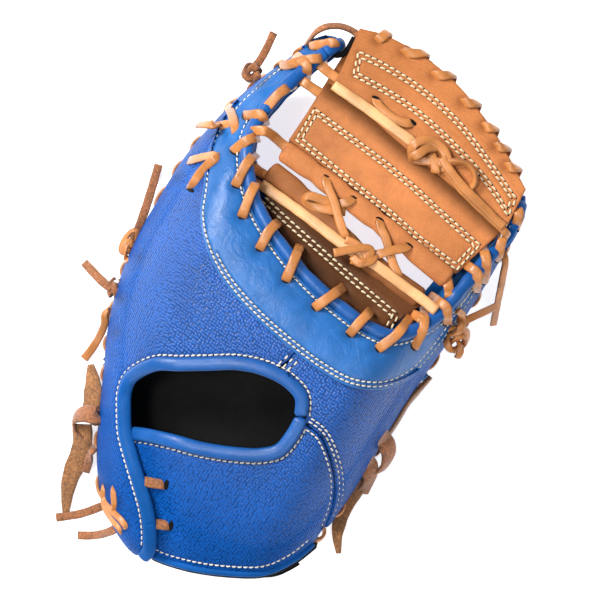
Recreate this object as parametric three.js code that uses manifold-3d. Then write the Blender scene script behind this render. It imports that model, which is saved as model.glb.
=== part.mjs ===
// A first baseman mitt for the left hand, lying palm down, in millimetres.
// +X is the thumb side, +Y the fingertips and +Z the back of the hand.
import * as THREE from 'three'
import { mergeVertices } from 'three/addons/utils/BufferGeometryUtils.js'
import Module from 'manifold-3d'

// Driving dimensions
const mittLength = 336
const mittWidth = 190
const mittHeight = 102
const leather = 2.4
const heelPad = 10
const palmPad = 7
const edgePad = 4
const liningThickness = 1.2
const rollWidth = 7.4
const rollHeight = 6
const bindingWidth = 7
const bindingHeight = 4.4
const pipingWidth = 4.5
const webLeather = 2.6
const barWidth = 11
const barHeight = 7
const laceWidth = 6
const laceThickness = 1.7
const strapWidth = 10
const strapThickness = 2
const clearance = 0.35
const footGap = 0.6
const laceLift = clearance + laceThickness / 2
const laceSlack = 1.2
const underRun = 7
const onLace = clearance + laceThickness
const lipHeight = 4
const flangeWidth = 12
const stallDepth = 20
const fallAcross = 7
const edgeFall = 5
const edgeFallReach = 25
const archReach = 62
const palmTurnReach = 26
const panelLap = 4
const fingerSteps = 17
const thumbSteps = 12
const lapGap = 1.3
const lipInset = 2.7
const liningInset = 2
const squareness = 2.2
const strapDip = 7
const strapDipReach = 30
const webTuck = 5
const webFall = 4
const seamGap = 1.6
const liningOverhang = 2.5
const bindingRise = 0.6
const webDepth = 8
const liningRows = [12, 26]

const colours = {
  pebbled: 0x2a5db0, smooth: 0x2f6cc4, lining: 0x141414, web: 0xc47a4a, lace: 0xd9892f, suede: 0x7a4a2c,
}

// Outline from the fingertip round the heel to the thumb tip.
// x and turn are percent of the width, y of the length, lift of the height:
// lift is the height of the back's edge there and palm the palm's, where it differs,
// turn is how far in the wall rounds over.
const rimTable = [
  { x: -32.6, y: 42.0, lift: 61, turn: 17, palm: 50 },
  { x: -37.9, y: 40.8, lift: 54, turn: 17, palm: 43 },
  { x: -42.1, y: 36.3, lift: 38, turn: 18, palm: 29 },
  { x: -46.3, y: 31.0, lift: 21, turn: 19, palm: 15 },
  { x: -50.0, y: 25.0, lift: 8, turn: 20, palm: 5 },
  { x: -52.6, y: 18.5, lift: 2, turn: 21, palm: 0 },
  { x: -54.5, y: 10.4, lift: 0, turn: 23 },
  { x: -54.2, y: 1.5, lift: 0, turn: 25 },
  { x: -53.2, y: -7.4, lift: 0, turn: 25 },
  { x: -50.0, y: -15.8, lift: 0, turn: 25 },
  { x: -45.3, y: -22.9, lift: 0, turn: 25 },
  { x: -39.5, y: -29.2, lift: 0, turn: 25 },
  { x: -33.7, y: -35.7, lift: 0, turn: 24 },
  { x: -27.4, y: -42.0, lift: 2, turn: 23, palm: 0 },
  { x: -19.5, y: -47.6, lift: 8, turn: 20, palm: 0 },
  { x: -9.5, y: -51.5, lift: 20, turn: 16, palm: 0 },
  { x: 0.0, y: -53.1, lift: 30, turn: 14, palm: 0 },
  { x: 5.3, y: -51.8, lift: 36, turn: 14, palm: 0 },
  { x: 15.8, y: -50.1, lift: 42, turn: 16, palm: 0 },
  { x: 27.4, y: -47.0, lift: 45, turn: 18, palm: 0 },
  { x: 36.8, y: -43.5, lift: 42, turn: 18, palm: 0 },
  { x: 42.1, y: -39.0, lift: 32, turn: 18, palm: 0 },
  { x: 45.3, y: -33.3, lift: 14, turn: 18, palm: 0 },
  { x: 46.3, y: -26.8, lift: 3, turn: 19, palm: 0 },
  { x: 46.3, y: -18.5, lift: 0, turn: 20 },
  { x: 45.5, y: -8.3, lift: 0, turn: 20 },
  { x: 45.5, y: 1.5, lift: 0, turn: 18 },
  { x: 46.0, y: 10.4, lift: 0, turn: 15 },
  { x: 46.0, y: 18.5, lift: 5, turn: 13, palm: 0 },
  { x: 45.3, y: 25.3, lift: 17, turn: 12, palm: 8 },
  { x: 43.9, y: 31.0, lift: 36, turn: 11, palm: 25 },
  { x: 42.1, y: 35.1, lift: 54, turn: 10, palm: 42 },
  { x: 39.5, y: 37.2, lift: 62, turn: 10, palm: 50 },
]

// Edge of the U that the web fills, from the fingertip to the thumb tip
const edgeTable = [
  { x: -32.6, y: 40.8 }, { x: -35.8, y: 36.3 }, { x: -38.4, y: 31.0 }, { x: -40.3, y: 25.0 },
  { x: -40.0, y: 19.6 }, { x: -37.4, y: 15.8 }, { x: -31.6, y: 11.9 }, { x: -23.7, y: 8.6 },
  { x: -10.5, y: 5.4 }, { x: 0.0, y: 3.7 }, { x: 10.5, y: 2.8 }, { x: 21.1, y: 2.5 },
  { x: 28.4, y: 3.3 }, { x: 34.2, y: 6.5 }, { x: 37.9, y: 11.3 }, { x: 39.5, y: 17.3 },
  { x: 41.1, y: 23.8 }, { x: 42.2, y: 29.2 }, { x: 40.8, y: 34.2 },
]

// Seam where the smooth crotch panel laps over the pebbled panels
const seamTable = [
  { x: -39.6, y: 39.4 }, { x: -43.2, y: 34.5 }, { x: -46.8, y: 28.6 }, { x: -49.7, y: 21.4 },
  { x: -49.5, y: 14.9 }, { x: -46.8, y: 10.7 }, { x: -43.7, y: 7.4 }, { x: -39.5, y: 2.7 },
  { x: -32.6, y: -1.2 }, { x: -23.7, y: -4.2 }, { x: -10.5, y: -6.5 }, { x: 2.6, y: -7.7 },
  { x: 15.8, y: -8.3 }, { x: 27.4, y: -7.7 }, { x: 36.8, y: -4.8 }, { x: 42.1, y: -0.3 },
  { x: 44.2, y: 6.0 }, { x: 44.7, y: 14.9 }, { x: 44.4, y: 23.2 }, { x: 43.2, y: 29.2 },
  { x: 41.5, y: 34.6 },
]

// Middle line of the binding from its butt joint over the wrist hole and down the flap
const openingTable = [
  { x: 19.5, y: -16.7 }, { x: 16.3, y: -13.8 }, { x: 10.5, y: -12.8 }, { x: 2.6, y: -13.2 },
  { x: -5.3, y: -14.9 }, { x: -13.2, y: -17.9 }, { x: -20.0, y: -20.5 }, { x: -26.3, y: -22.9 },
  { x: -30.3, y: -27.1 }, { x: -29.5, y: -29.8 }, { x: -26.8, y: -32.4 }, { x: -22.6, y: -35.7 },
  { x: -16.8, y: -38.7 }, { x: -10.5, y: -41.7 }, { x: -4.2, y: -44.9 }, { x: 0.5, y: -48.2 },
  { x: 2.9, y: -50.9 }, { x: 2.6, y: -52.5 },
]

// Middle line of the binding on the strap's upper edge, from the butt joint to under the flap
const strapTopTable = [
  { x: 20.0, y: -17.5 }, { x: 20.3, y: -20.2 }, { x: 19.5, y: -23.5 }, { x: 15.8, y: -25.8 },
  { x: 9.5, y: -28.0 }, { x: 0.0, y: -30.5 }, { x: -9.5, y: -32.3 }, { x: -17.4, y: -34.1 },
  { x: -21.0, y: -35.2 },
]

// Seam between the strap and the thumb panel
const strapSeamTable = [
  { x: 22.0, y: -17.3 }, { x: 27.4, y: -17.6 }, { x: 32.6, y: -19.3 }, { x: 38.4, y: -22.3 },
  { x: 42.6, y: -26.2 }, { x: 44.9, y: -31.0 },
]

// Lower edge of the strap, from under the flap to the thumb seam
const strapLowTable = [
  { x: -10.0, y: -48.6 }, { x: 0.0, y: -50.8 }, { x: 5.3, y: -51.2 }, { x: 15.8, y: -49.5 },
  { x: 27.4, y: -46.4 }, { x: 36.6, y: -42.9 }, { x: 41.8, y: -38.4 }, { x: 44.3, y: -34.4 },
]

// Height of the back, the palm's hollow and the web along the mitt, in percent of the height
const backTable = [
  { y: -53.0, z: 50 }, { y: -45.0, z: 62 }, { y: -38.7, z: 73 }, { y: -32.7, z: 82 },
  { y: -25.3, z: 90 }, { y: -17.9, z: 95 }, { y: -8.9, z: 99 }, { y: 0.0, z: 100 },
  { y: 8.9, z: 99 }, { y: 17.9, z: 96 }, { y: 25.3, z: 93 }, { y: 31.3, z: 89 },
  { y: 37.2, z: 83 }, { y: 42.3, z: 75 },
]
const palmTable = [
  { y: -53.0, z: 0 }, { y: -44.0, z: 0 }, { y: -38.0, z: 8 }, { y: -32.0, z: 21 },
  { y: -25.0, z: 36 }, { y: -12.0, z: 51 }, { y: 0.0, z: 61 }, { y: 9.0, z: 69 },
  { y: 18.0, z: 76 }, { y: 30.0, z: 77 }, { y: 37.0, z: 72 }, { y: 42.0, z: 64 },
]
const webTable = [
  { y: 2.0, z: 91 }, { y: 5.0, z: 89 }, { y: 8.0, z: 87 }, { y: 11.0, z: 84 },
  { y: 14.0, z: 81 }, { y: 19.0, z: 79 }, { y: 28.0, z: 79 }, { y: 34.0, z: 78 },
  { y: 39.0, z: 74 }, { y: 47.0, z: 64 },
]

// Curves across the web from its finger end to its thumb end
const webLines = {
  top: [{ x: -30.0, y: 45.2 }, { x: -21.1, y: 46.7 }, { x: 0.0, y: 46.7 }, { x: 21.1, y: 42.9 }, { x: 39.5, y: 37.3 }],
  topLow: [{ x: -26.8, y: 33.4 }, { x: -13.2, y: 33.0 }, { x: 0.0, y: 31.9 }, { x: 26.3, y: 30.2 }, { x: 41.0, y: 29.0 }],
  midTop: [{ x: -29.2, y: 34.2 }, { x: -13.2, y: 34.2 }, { x: 0.0, y: 33.2 }, { x: 26.3, y: 31.6 }, { x: 41.0, y: 30.2 }],
  midLow: [{ x: -29.5, y: 22.0 }, { x: -15.8, y: 21.5 }, { x: 0.0, y: 21.0 }, { x: 15.8, y: 20.0 }, { x: 35.4, y: 18.4 }],
  bar: [{ x: -29.5, y: 20.1 }, { x: -15.8, y: 19.7 }, { x: 0.0, y: 19.0 }, { x: 15.8, y: 18.1 }, { x: 34.9, y: 16.9 }],
  baseRoll: [{ x: -29.7, y: 15.9 }, { x: -15.8, y: 15.2 }, { x: 0.0, y: 13.8 }, { x: 13.2, y: 12.8 }, { x: 31.0, y: 12.3 }],
  baseTop: [{ x: -28.7, y: 13.1 }, { x: -10.5, y: 12.2 }, { x: 0.0, y: 11.4 }, { x: 15.8, y: 10.6 }, { x: 32.6, y: 10.4 }],
  baseLow: [{ x: -23.7, y: 10.3 }, { x: -10.5, y: 6.2 }, { x: 0.0, y: 4.4 }, { x: 14.0, y: 3.4 }, { x: 26.6, y: 3.6 }],
  frontLow: [{ x: -29.2, y: 19.4 }, { x: -13.2, y: 18.8 }, { x: 0.0, y: 18.2 }, { x: 15.8, y: 17.2 }, { x: 34.7, y: 16.2 }],
}

// Wraps of the edge laces: hole in the crotch panel, and where the lace dives inside the U
const edgeWraps = {
  finger_edge_lace: [
    { x: -39.2, y: 37.4, diveX: -31.3, diveY: 39.6 },
    { x: -42.2, y: 32.2, diveX: -32.0, diveY: 36.0 },
    { x: -41.2, y: 34.7, diveX: -33.4, diveY: 33.1 },
    { x: -43.4, y: 25.8, diveX: -35.6, diveY: 29.6 },
    { x: -44.2, y: 21.4, diveX: -35.6, diveY: 22.6 },
    { x: -42.0, y: 15.0, diveX: -34.6, diveY: 19.6 },
    { x: -35.6, y: 10.0, diveX: -31.2, diveY: 17.0 },
  ],
  crotch_edge_lace: [
    { x: -28.6, y: 6.6, diveX: -29.6, diveY: 12.6 },
    { x: -19.0, y: 3.2, diveX: -18.4, diveY: 9.4 },
    { x: -7.0, y: 1.2, diveX: -8.9, diveY: 7.8 },
    { x: 4.7, y: 0.0, diveX: 8.4, diveY: 6.2 },
    { x: 17.8, y: -0.4, diveX: 19.5, diveY: 5.3 },
    { x: 28.4, y: 0.0, diveX: 30.6, diveY: 7.4 },
  ],
  thumb_edge_lace: [
    { x: 37.2, y: 3.6, diveX: 34.6, diveY: 9.8 },
    { x: 41.4, y: 10.8, diveX: 34.2, diveY: 13.4 },
    { x: 42.4, y: 18.4, diveX: 36.8, diveY: 20.2 },
    { x: 42.8, y: 24.8, diveX: 38.6, diveY: 27.6 },
    { x: 42.0, y: 30.6, diveX: 39.2, diveY: 33.2 },
  ],
}

const toX = (share) => share * mittWidth / 100
const toY = (share) => share * mittLength / 100
const toZ = (share) => share * mittHeight / 100
const crestX = toX(-4)

// A smooth plan curve through a table's points
function planCurve(table) {
  const points = table.map((row) => new THREE.Vector3(toX(row.x), toY(row.y), 0))
  return new THREE.CatmullRomCurve3(points, false, 'centripetal')
}

// Points at equal steps of arc length between two shares of a curve
function sampled(curve, count, from = 0, to = 1) {
  return Array.from({ length: count + 1 }, (_, i) => curve.getPointAt(from + (to - from) * i / count))
}

// Value of a height table at a place along the mitt, on cubic Hermite pieces
function along(table, y) {
  const last = table.length - 1
  const slope = (i) => {
    const before = table[Math.max(i - 1, 0)]
    const after = table[Math.min(i + 1, last)]
    return (after.z - before.z) / (after.y - before.y)
  }
  const share = THREE.MathUtils.clamp(y / mittLength * 100, table[0].y, table[last].y)
  let i = 0
  while (i < last - 1 && share > table[i + 1].y) i += 1
  const span = table[i + 1].y - table[i].y
  const t = (share - table[i].y) / span
  const z = (2 * t ** 3 - 3 * t ** 2 + 1) * table[i].z + (t ** 3 - 2 * t ** 2 + t) * span * slope(i)
    + (3 * t ** 2 - 2 * t ** 3) * table[i + 1].z + (t ** 3 - t ** 2) * span * slope(i + 1)
  return toZ(z)
}

const rimCurve = planCurve(rimTable)
const edgeCurve = planCurve(edgeTable)
const rimPoints = rimCurve.getPoints(6 * (rimTable.length - 1))
const edgePoints = edgeCurve.getPoints(6 * (edgeTable.length - 1))

// The rim's lift, turn and palm lift at the same steps as its points
const rimValues = new THREE.CatmullRomCurve3(rimTable.map((row) => (
  new THREE.Vector3(toZ(row.lift), toX(row.turn), toZ(row.palm ?? row.lift)))), false, 'catmullrom', 0.5)
  .getPoints(rimPoints.length - 1)

// Nearest place of a chain of points: its distance in plan and its share along the chain
function nearest(points, x, y) {
  let best = { distance: Infinity, share: 0 }
  for (let i = 0; i < points.length - 1; i += 1) {
    const a = points[i]
    const b = points[i + 1]
    const run = (b.x - a.x) ** 2 + (b.y - a.y) ** 2
    const t = THREE.MathUtils.clamp(((x - a.x) * (b.x - a.x) + (y - a.y) * (b.y - a.y)) / run, 0, 1)
    const distance = Math.hypot(x - a.x - t * (b.x - a.x), y - a.y - t * (b.y - a.y))
    if (distance < best.distance) best = { distance, share: i + t }
  }
  return best
}

function rimAt(x, y) {
  const { distance, share } = nearest(rimPoints, x, y)
  const i = Math.min(Math.floor(share), rimPoints.length - 2)
  const value = rimValues[i].clone().lerp(rimValues[i + 1], share - i)
  return { distance, lift: value.x, turn: value.y, palm: Math.max(value.z, 0) }
}

// Rounded shoulder of the wall: 0 at the edge and 1 where the wall has turned flat
function shoulder(distance, turn) {
  const left = 1 - Math.min(distance / turn, 1)
  return (1 - left ** squareness) ** (1 / squareness)
}

function backHeight(x, y) {
  const rim = rimAt(x, y)
  const across = (x - crestX) / (mittWidth / 2)
  const crown = along(backTable, y) - fallAcross * across ** 2
  const inward = Math.max(0, 1 - nearest(edgePoints, x, y).distance / edgeFallReach)
  const foot = rim.lift + footGap
  return foot + (crown - foot) * shoulder(rim.distance, rim.turn) - edgeFall * inward ** 2
}

// Underside of the palm: an arch over the pocket that turns up to meet the back round the web
function palmHeight(x, y) {
  const rim = rimAt(x, y)
  const reach = THREE.MathUtils.clamp((rim.distance - flangeWidth - leather) / archReach, 0, 1)
  const hollow = rim.palm + (Math.max(along(palmTable, y), rim.palm) - rim.palm) * (1 - (1 - reach) ** 2)
  const toEdge = nearest(edgePoints, x, y).distance
  const turnReach = Math.min(palmTurnReach, 0.75 * (toEdge + rim.distance))
  const near = THREE.MathUtils.clamp(1 - toEdge / turnReach, 0, 1)
  const blend = near * near * (3 - 2 * near)
  return THREE.MathUtils.lerp(hollow, Math.max(backHeight(x, y) - stallDepth, rim.palm), blend)
}

function webHeight(x, y) {
  return along(webTable, y) - webFall * ((x - toX(3)) / toX(34)) ** 2
}

const wasm = await Module()
wasm.setup()

function toSolid(geometry) {
  const bare = geometry.clone()
  bare.deleteAttribute('normal')
  bare.deleteAttribute('uv')
  const merged = mergeVertices(bare, 1e-4)
  return new wasm.Manifold(new wasm.Mesh({
    numProp: 3,
    vertProperties: new Float32Array(merged.attributes.position.array),
    triVerts: new Uint32Array(merged.index.array),
  }))
}

function toGeometry(solid) {
  const mesh = solid.getMesh()
  const geometry = new THREE.BufferGeometry()
  geometry.setAttribute('position', new THREE.BufferAttribute(new Float32Array(mesh.vertProperties), 3))
  geometry.setIndex(new THREE.BufferAttribute(new Uint32Array(mesh.triVerts), 1))
  return geometry
}

// A closed solid through rings of points, each ring one side and then back along the other side
function loft(rings) {
  const size = rings[0].length
  const positions = rings.flat().flatMap((point) => [point.x, point.y, point.z])
  const index = []
  const quad = (a, b, c, d) => index.push(a, b, c, a, c, d)
  for (let i = 0; i < rings.length - 1; i += 1) {
    for (let j = 0; j < size; j += 1) {
      const k = (j + 1) % size
      const corners = [i * size + j, i * size + k, (i + 1) * size + k, (i + 1) * size + j]
      // Both sides of a shell are split along the same diagonals
      if (j < size / 2) quad(...corners)
      else quad(...corners.slice(1), corners[0])
    }
  }
  const end = (rings.length - 1) * size
  for (let j = 0; j < size / 2 - 1; j += 1) {
    const back = size - 1 - j
    quad(j, back, back - 1, j + 1)
    quad(end + j, end + j + 1, end + back - 1, end + back)
  }
  let volume = 0
  for (let i = 0; i < index.length; i += 3) {
    const [a, b, c] = [0, 1, 2].map((k) => new THREE.Vector3().fromArray(positions, index[i + k] * 3))
    volume += a.dot(b.cross(c))
  }
  if (volume < 0) index.reverse()
  const geometry = new THREE.BufferGeometry()
  geometry.setAttribute('position', new THREE.Float32BufferAttribute(positions, 3))
  geometry.setIndex(index)
  return geometry
}

// Normals of a grid of points, turned so that on the whole they point up
function gridNormals(grid) {
  const normals = grid.map((row, i) => row.map((point, j) => {
    const before = grid[Math.max(i - 1, 0)][j]
    const after = grid[Math.min(i + 1, grid.length - 1)][j]
    const low = row[Math.max(j - 1, 0)]
    const high = row[Math.min(j + 1, row.length - 1)]
    return after.clone().sub(before).cross(high.clone().sub(low)).normalize()
  }))
  const up = Math.sign(normals.flat().reduce((sum, normal) => sum + normal.z, 0))
  return normals.map((row) => row.map((normal) => normal.multiplyScalar(up)))
}

// A leather shell between two offsets from a grid, which may be numbers or functions of its steps.
// It can be only some of the grid's rows and columns.
function shell(grid, upper, lower, rows = [0, grid.length], firstColumn = 0) {
  const normals = gridNormals(grid)
  const depth = (offset, i, j) => (typeof offset === 'function' ? offset(i, j) : offset)
  const side = (offset, i) => grid[i].map((point, j) => (
    point.clone().addScaledVector(normals[i][j], depth(offset, i, j)))).slice(firstColumn)
  return loft(grid.map((row, i) => [...side(upper, i), ...side(lower, i).reverse()]).slice(...rows))
}

// A panel through plan curves with as many points each: spans gives the steps between each two
// curves and how much the steps crowd towards the first
function panel(curves, spans, height, upper, lower) {
  const grid = curves[0].map((_, i) => spans.flatMap(([steps, crowding], k) => {
    const first = k === 0 ? 0 : 1
    return Array.from({ length: steps + 1 - first }, (__, j) => {
      const place = curves[k][i].clone().lerp(curves[k + 1][i], ((j + first) / steps) ** crowding)
      return place.setZ(height(place.x, place.y))
    })
  }))
  return shell(grid, upper, lower)
}

// Points moved sideways in plan, to the left of the way they run, by a number or one for each share
function shifted(points, distance) {
  return points.map((point, i) => {
    const move = typeof distance === 'function' ? distance(i / (points.length - 1)) : distance
    const before = points[Math.max(i - 1, 0)]
    const after = points[Math.min(i + 1, points.length - 1)]
    const side = new THREE.Vector3(before.y - after.y, after.x - before.x, 0).normalize()
    return point.clone().addScaledVector(side, move)
  })
}

// A section carried along a path, kept square to the path and facing the given normals
function sweep(points, normals, section) {
  return loft(points.map((point, i) => {
    const before = points[Math.max(i - 1, 0)]
    const after = points[Math.min(i + 1, points.length - 1)]
    const tangent = after.clone().sub(before).normalize()
    const side = tangent.clone().cross(normals[i]).normalize()
    const up = side.clone().cross(tangent)
    return section.map(([across, rise]) => point.clone().addScaledVector(side, across).addScaledVector(up, rise))
  }))
}

const strip = (width, thickness) => [
  [-width / 2, thickness / 2], [width / 2, thickness / 2], [width / 2, -thickness / 2], [-width / 2, -thickness / 2],
]

// An oval section whose point order matches the loft's ends
function oval(width, height, sides = 8) {
  const half = Array.from({ length: sides / 2 }, (_, i) => Math.PI - Math.PI * (i + 0.5) / (sides / 2))
  const upper = half.map((angle) => [width / 2 * Math.cos(angle), height / 2 * Math.sin(angle)])
  return [...upper, ...upper.map(([across, rise]) => [across, -rise]).reverse()]
}

const zUp = new THREE.Vector3(0, 0, 1)
const upward = (points) => points.map(() => zUp)

function roll(points, height, width, thickness, sides = 8) {
  const raised = points.map((point) => new THREE.Vector3(point.x, point.y, height(point.x, point.y)))
  return sweep(raised, upward(raised), oval(width, thickness, sides))
}

// Share of a curve's length that lies nearest a plan place given in percent
function shareNear(curve, x, y) {
  const points = curve.getSpacedPoints(300)
  return nearest(points, toX(x), toY(y)).share / 300
}

const openingCurve = planCurve(openingTable)
const strapTopCurve = planCurve(strapTopTable)
const strapSeamCurve = planCurve(strapSeamTable)
const strapLowCurve = planCurve(strapLowTable)
const seamCurve = planCurve(seamTable)
const webCurves = Object.fromEntries(Object.entries(webLines).map(([name, rows]) => [name, planCurve(rows)]))

// Where the finger and thumb panels meet between the crotch seam and the wrist hole
const shortSeamTop = shareNear(seamCurve, 7.6, -8)
const shortSeamLow = shareNear(openingCurve, 6.6, -12.8)
const flapStart = shareNear(openingCurve, -30.3, -27.1)
const flapTip = shareNear(rimCurve, 1.2, -53.1)
const strapStart = shareNear(rimCurve, 45.8, -30.2)

const overPanels = leather + lapGap
const crotchHeight = (x, y) => backHeight(x, y) + overPanels

// The strap runs lower where it passes under the flap
function strapHeight(x, y) {
  const start = openingTable[8]
  const end = openingTable[openingTable.length - 1]
  const alongFlap = new THREE.Vector2(toX(end.x - start.x), toY(end.y - start.y)).normalize()
  const inFront = alongFlap.x * (y - toY(start.y)) - alongFlap.y * (x - toX(start.x))
  const near = THREE.MathUtils.clamp(1 - inFront / strapDipReach, 0, 1)
  return backHeight(x, y) - strapDip * near * near * (3 - 2 * near)
}

function palmThickness(y) {
  const share = THREE.MathUtils.smoothstep(y, toY(-44), toY(-20))
  return THREE.MathUtils.lerp(heelPad, palmPad, share)
}

// The palm: a lip that stands inside the back's wall, a flat flange on the floor, then the arch
function palmShell(part = 'palm') {
  const steps = 40
  const outer = shifted(sampled(rimCurve, steps), leather + lipInset)
  const inner = shifted(sampled(edgeCurve, steps), rollWidth)
  const flange = [[0, lipHeight], [1.5, 0], [flangeWidth, 0]]
  const rise = [0.2, 0.55, 1]
  const grid = outer.map((start, i) => {
    const reach = start.distanceTo(inner[i])
    const scale = Math.min(1, reach / (flangeWidth * 3))
    const stations = [...flange.map(([run, lift]) => [run * scale, lift]),
      ...rise.map((share) => [flangeWidth * scale + (reach - flangeWidth * scale) * share, null])]
    return stations.map(([run, lift]) => {
      const x = THREE.MathUtils.lerp(start.x, inner[i].x, run / reach)
      const y = THREE.MathUtils.lerp(start.y, inner[i].y, run / reach)
      const z = lift === null ? palmHeight(x, y) : rimAt(start.x, start.y).palm + lift
      return new THREE.Vector3(x, y, z)
    })
  })
  const thickness = (i, j) => {
    if (j < flange.length - 1) return leather
    const room = Math.min(1, outer[i].distanceTo(inner[i]) / (flangeWidth * 4)) ** 2
    const toEdge = ((j - flange.length + 1) / rise.length) ** 2
    return Math.max(leather, THREE.MathUtils.lerp(palmThickness(grid[i][j].y), edgePad, toEdge) * room)
  }
  if (part === 'palm') return shell(grid, thickness, 0)
  const depth = (i, j) => thickness(i, j) + lapGap
  return shell(grid, (i, j) => depth(i, j) + liningThickness, depth, liningRows, flange.length)
}

// Steps of a curve between each two of several shares
function stretches(curve, shares, counts) {
  return counts.flatMap((count, i) => sampled(curve, count, shares[i], shares[i + 1]).slice(i === 0 ? 0 : 1))
}

// The crotch panel's lap narrows towards the tips, where the walls are steep
function lapAt(share) {
  const low = THREE.MathUtils.smoothstep(share, 0.12, 0.35) * (1 - THREE.MathUtils.smoothstep(share, 0.72, 0.9))
  return panelLap * (0.3 + 0.7 * low)
}

// The seam and its lap line as chains of points, from the fingertip to the thumb tip
const seamPoints = stretches(seamCurve, [0, shortSeamTop, 1], [fingerSteps, thumbSteps])
const lapPoints = shifted(seamPoints, lapAt)

function fingerBack() {
  const low = shareNear(rimCurve, -53.2, -7.4)
  const breaks = [0.004, low, shareNear(rimCurve, -45.3, -22.9), flapTip]
  const outer = stretches(rimCurve, breaks, [fingerSteps, 6, 9])
  const opening = stretches(openingCurve, [shortSeamLow + 0.006, flapStart, 0.98], [6, 9]).slice(1)
  const before = [...seamPoints.slice(0, fingerSteps + 1), ...shifted(opening, -bindingWidth / 2 - panelLap)]
  const inner = [...lapPoints.slice(0, fingerSteps + 1), ...shifted(opening, -bindingWidth / 2)]
  return panel([outer, before, inner], [[4, 2], [1, 1]], backHeight, 0, -leather)
}

function thumbBack(grown = 0) {
  const low = shareNear(rimCurve, 45.5, -10)
  const breaks = [strapStart, shareNear(rimCurve, 46.3, -18.5), low, 0.996]
  const outer = stretches(rimCurve, breaks, [6, 4, thumbSteps])
  const strapSeam = sampled(strapSeamCurve, 6, 1, 0).slice(0, -1)
  const opening = sampled(openingCurve, 4, 0, shortSeamLow - 0.006).slice(0, -1)
  const before = [...shifted(strapSeam, (share) => -seamGap / 2 - panelLap * share),
    ...shifted(opening, -bindingWidth / 2 - panelLap), ...seamPoints.slice(fingerSteps)]
  const inner = [...shifted(strapSeam, -seamGap / 2), ...shifted(opening, -bindingWidth / 2),
    ...lapPoints.slice(fingerSteps)]
  return panel([outer, before, inner], [[4, 2], [1, 1]], backHeight, grown, -leather - grown)
}

function wristStrap(upper, lower, overhang, inset) {
  const top = shifted(sampled(strapTopCurve, 9, 1, 0), -bindingWidth / 2 - inset)
  const seam = shifted(sampled(strapSeamCurve, 6), -seamGap / 2 - inset)
  const turn = 0.62
  const low = shifted(stretches(strapLowCurve, [0, turn, 1], [9, 6]), -overhang)
  return panel([low, [...top, ...seam.slice(1)]], [[4, 1.3]], strapHeight, upper, lower)
}

function crotchPanel(grown = 0) {
  const count = fingerSteps + thumbSteps
  const inner = shifted(sampled(edgeCurve, count, 0.012, 0.988), -rollWidth / 2 - clearance)
  return panel([seamPoints, lapPoints, inner], [[1, 1], [2, 1]], backHeight, overPanels + grown, lapGap - grown)
}

function webPanel(high, low, height) {
  return panel([sampled(webCurves[high], 10), sampled(webCurves[low], 10)], [[2, 1]], height, 0, -webLeather)
}

// Every piece in the order of making: what is made later cuts its room out of what came before
const pieces = []
function add(name, colour, geometry, cutter = null) {
  pieces.push({ name, colour, solid: toSolid(geometry), cutter: cutter && toSolid(cutter) })
}

function addRoll(name, colour, points, height, width, thickness) {
  const grown = 2 * clearance
  add(name, colour, roll(points, height, width, thickness, 6), roll(points, height, width + grown, thickness + grown, 6))
}

const above = (height, offset) => (x, y) => height(x, y) + offset

add('palm', colours.smooth, palmShell())
add('palm_lining', colours.lining, palmShell('lining'))
add('finger_back', colours.pebbled, fingerBack())
add('thumb_back', colours.pebbled, thumbBack(), thumbBack(clearance))
// The growth leaves out the panel's edges, so the panel itself is taken with it
const thumbPiece = pieces[pieces.length - 1]
thumbPiece.cutter = thumbPiece.cutter.add(thumbPiece.solid)
add('crotch_panel', colours.smooth, crotchPanel(), crotchPanel(clearance))
const liningTop = -leather - lapGap
add('strap_lining', colours.lining, wristStrap(liningTop, liningTop - liningThickness, liningOverhang, liningInset))
add('wrist_strap', colours.pebbled, wristStrap(0, -leather, 0, 0), wristStrap(clearance, -leather - clearance, 0, 0))

// The web's panels, bars and front layer
const midTopPoints = sampled(webCurves.midTop, 30)
function tuckedHeight(x, y) {
  const edge = nearest(midTopPoints, x, y).distance
  return webHeight(x, y) - webTuck * Math.max(0, 1 - edge / (2 * webTuck)) ** 2
}
add('web_front_panel', colours.web, webPanel('top', 'frontLow', above(webHeight, -webDepth)))
add('web_base_panel', colours.web, webPanel('baseTop', 'baseLow', webHeight))
add('web_mid_panel', colours.web, webPanel('midTop', 'midLow', tuckedHeight))
add('web_top_panel', colours.web, webPanel('top', 'topLow', webHeight))
addRoll('web_bar', colours.web, sampled(webCurves.bar, 10), webHeight, barWidth, barHeight)
addRoll('web_base_roll', colours.web, sampled(webCurves.baseRoll, 10), webHeight, barWidth, barHeight)

// Binding of the wrist hole and flap, of the strap's two edges, and the rolled edges of the U
addRoll('strap_binding', colours.smooth, sampled(strapTopCurve, 12), above(strapHeight, bindingRise), bindingWidth, bindingHeight)
addRoll('heel_binding', colours.smooth, sampled(strapLowCurve, 12), above(strapHeight, -bindingRise), pipingWidth, bindingHeight)
addRoll('opening_binding', colours.smooth, sampled(openingCurve, 28), above(backHeight, bindingRise), bindingWidth, bindingHeight)
addRoll('palm_edge_roll', colours.smooth, shifted(sampled(edgeCurve, 28, 0.012, 0.988), rollWidth + rollWidth / 2),
  above(palmHeight, edgePad / 2), rollWidth, rollHeight)
add('back_edge_roll', colours.smooth, roll(sampled(edgeCurve, fingerSteps + thumbSteps, 0.012, 0.988),
  above(crotchHeight, -bindingRise), rollWidth, rollHeight, 6))

// The sides that a flat lace's width follows: level and square to its way in plan, turning smoothly
function laceSides(points) {
  const sides = points.map((point, i) => {
    const way = points[Math.min(i + 1, points.length - 1)].clone().sub(points[Math.max(i - 1, 0)])
    const steep = Math.hypot(way.x, way.y) < 0.3 * way.length()
    return steep ? null : new THREE.Vector3(way.y, -way.x, 0).normalize()
  })
  let last = sides.find((side) => side) ?? new THREE.Vector3(1, 0, 0)
  return sides.map((side) => {
    const next = side ?? last.clone()
    if (next.dot(last) < 0) next.negate()
    last = next
    return next
  })
}

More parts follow.
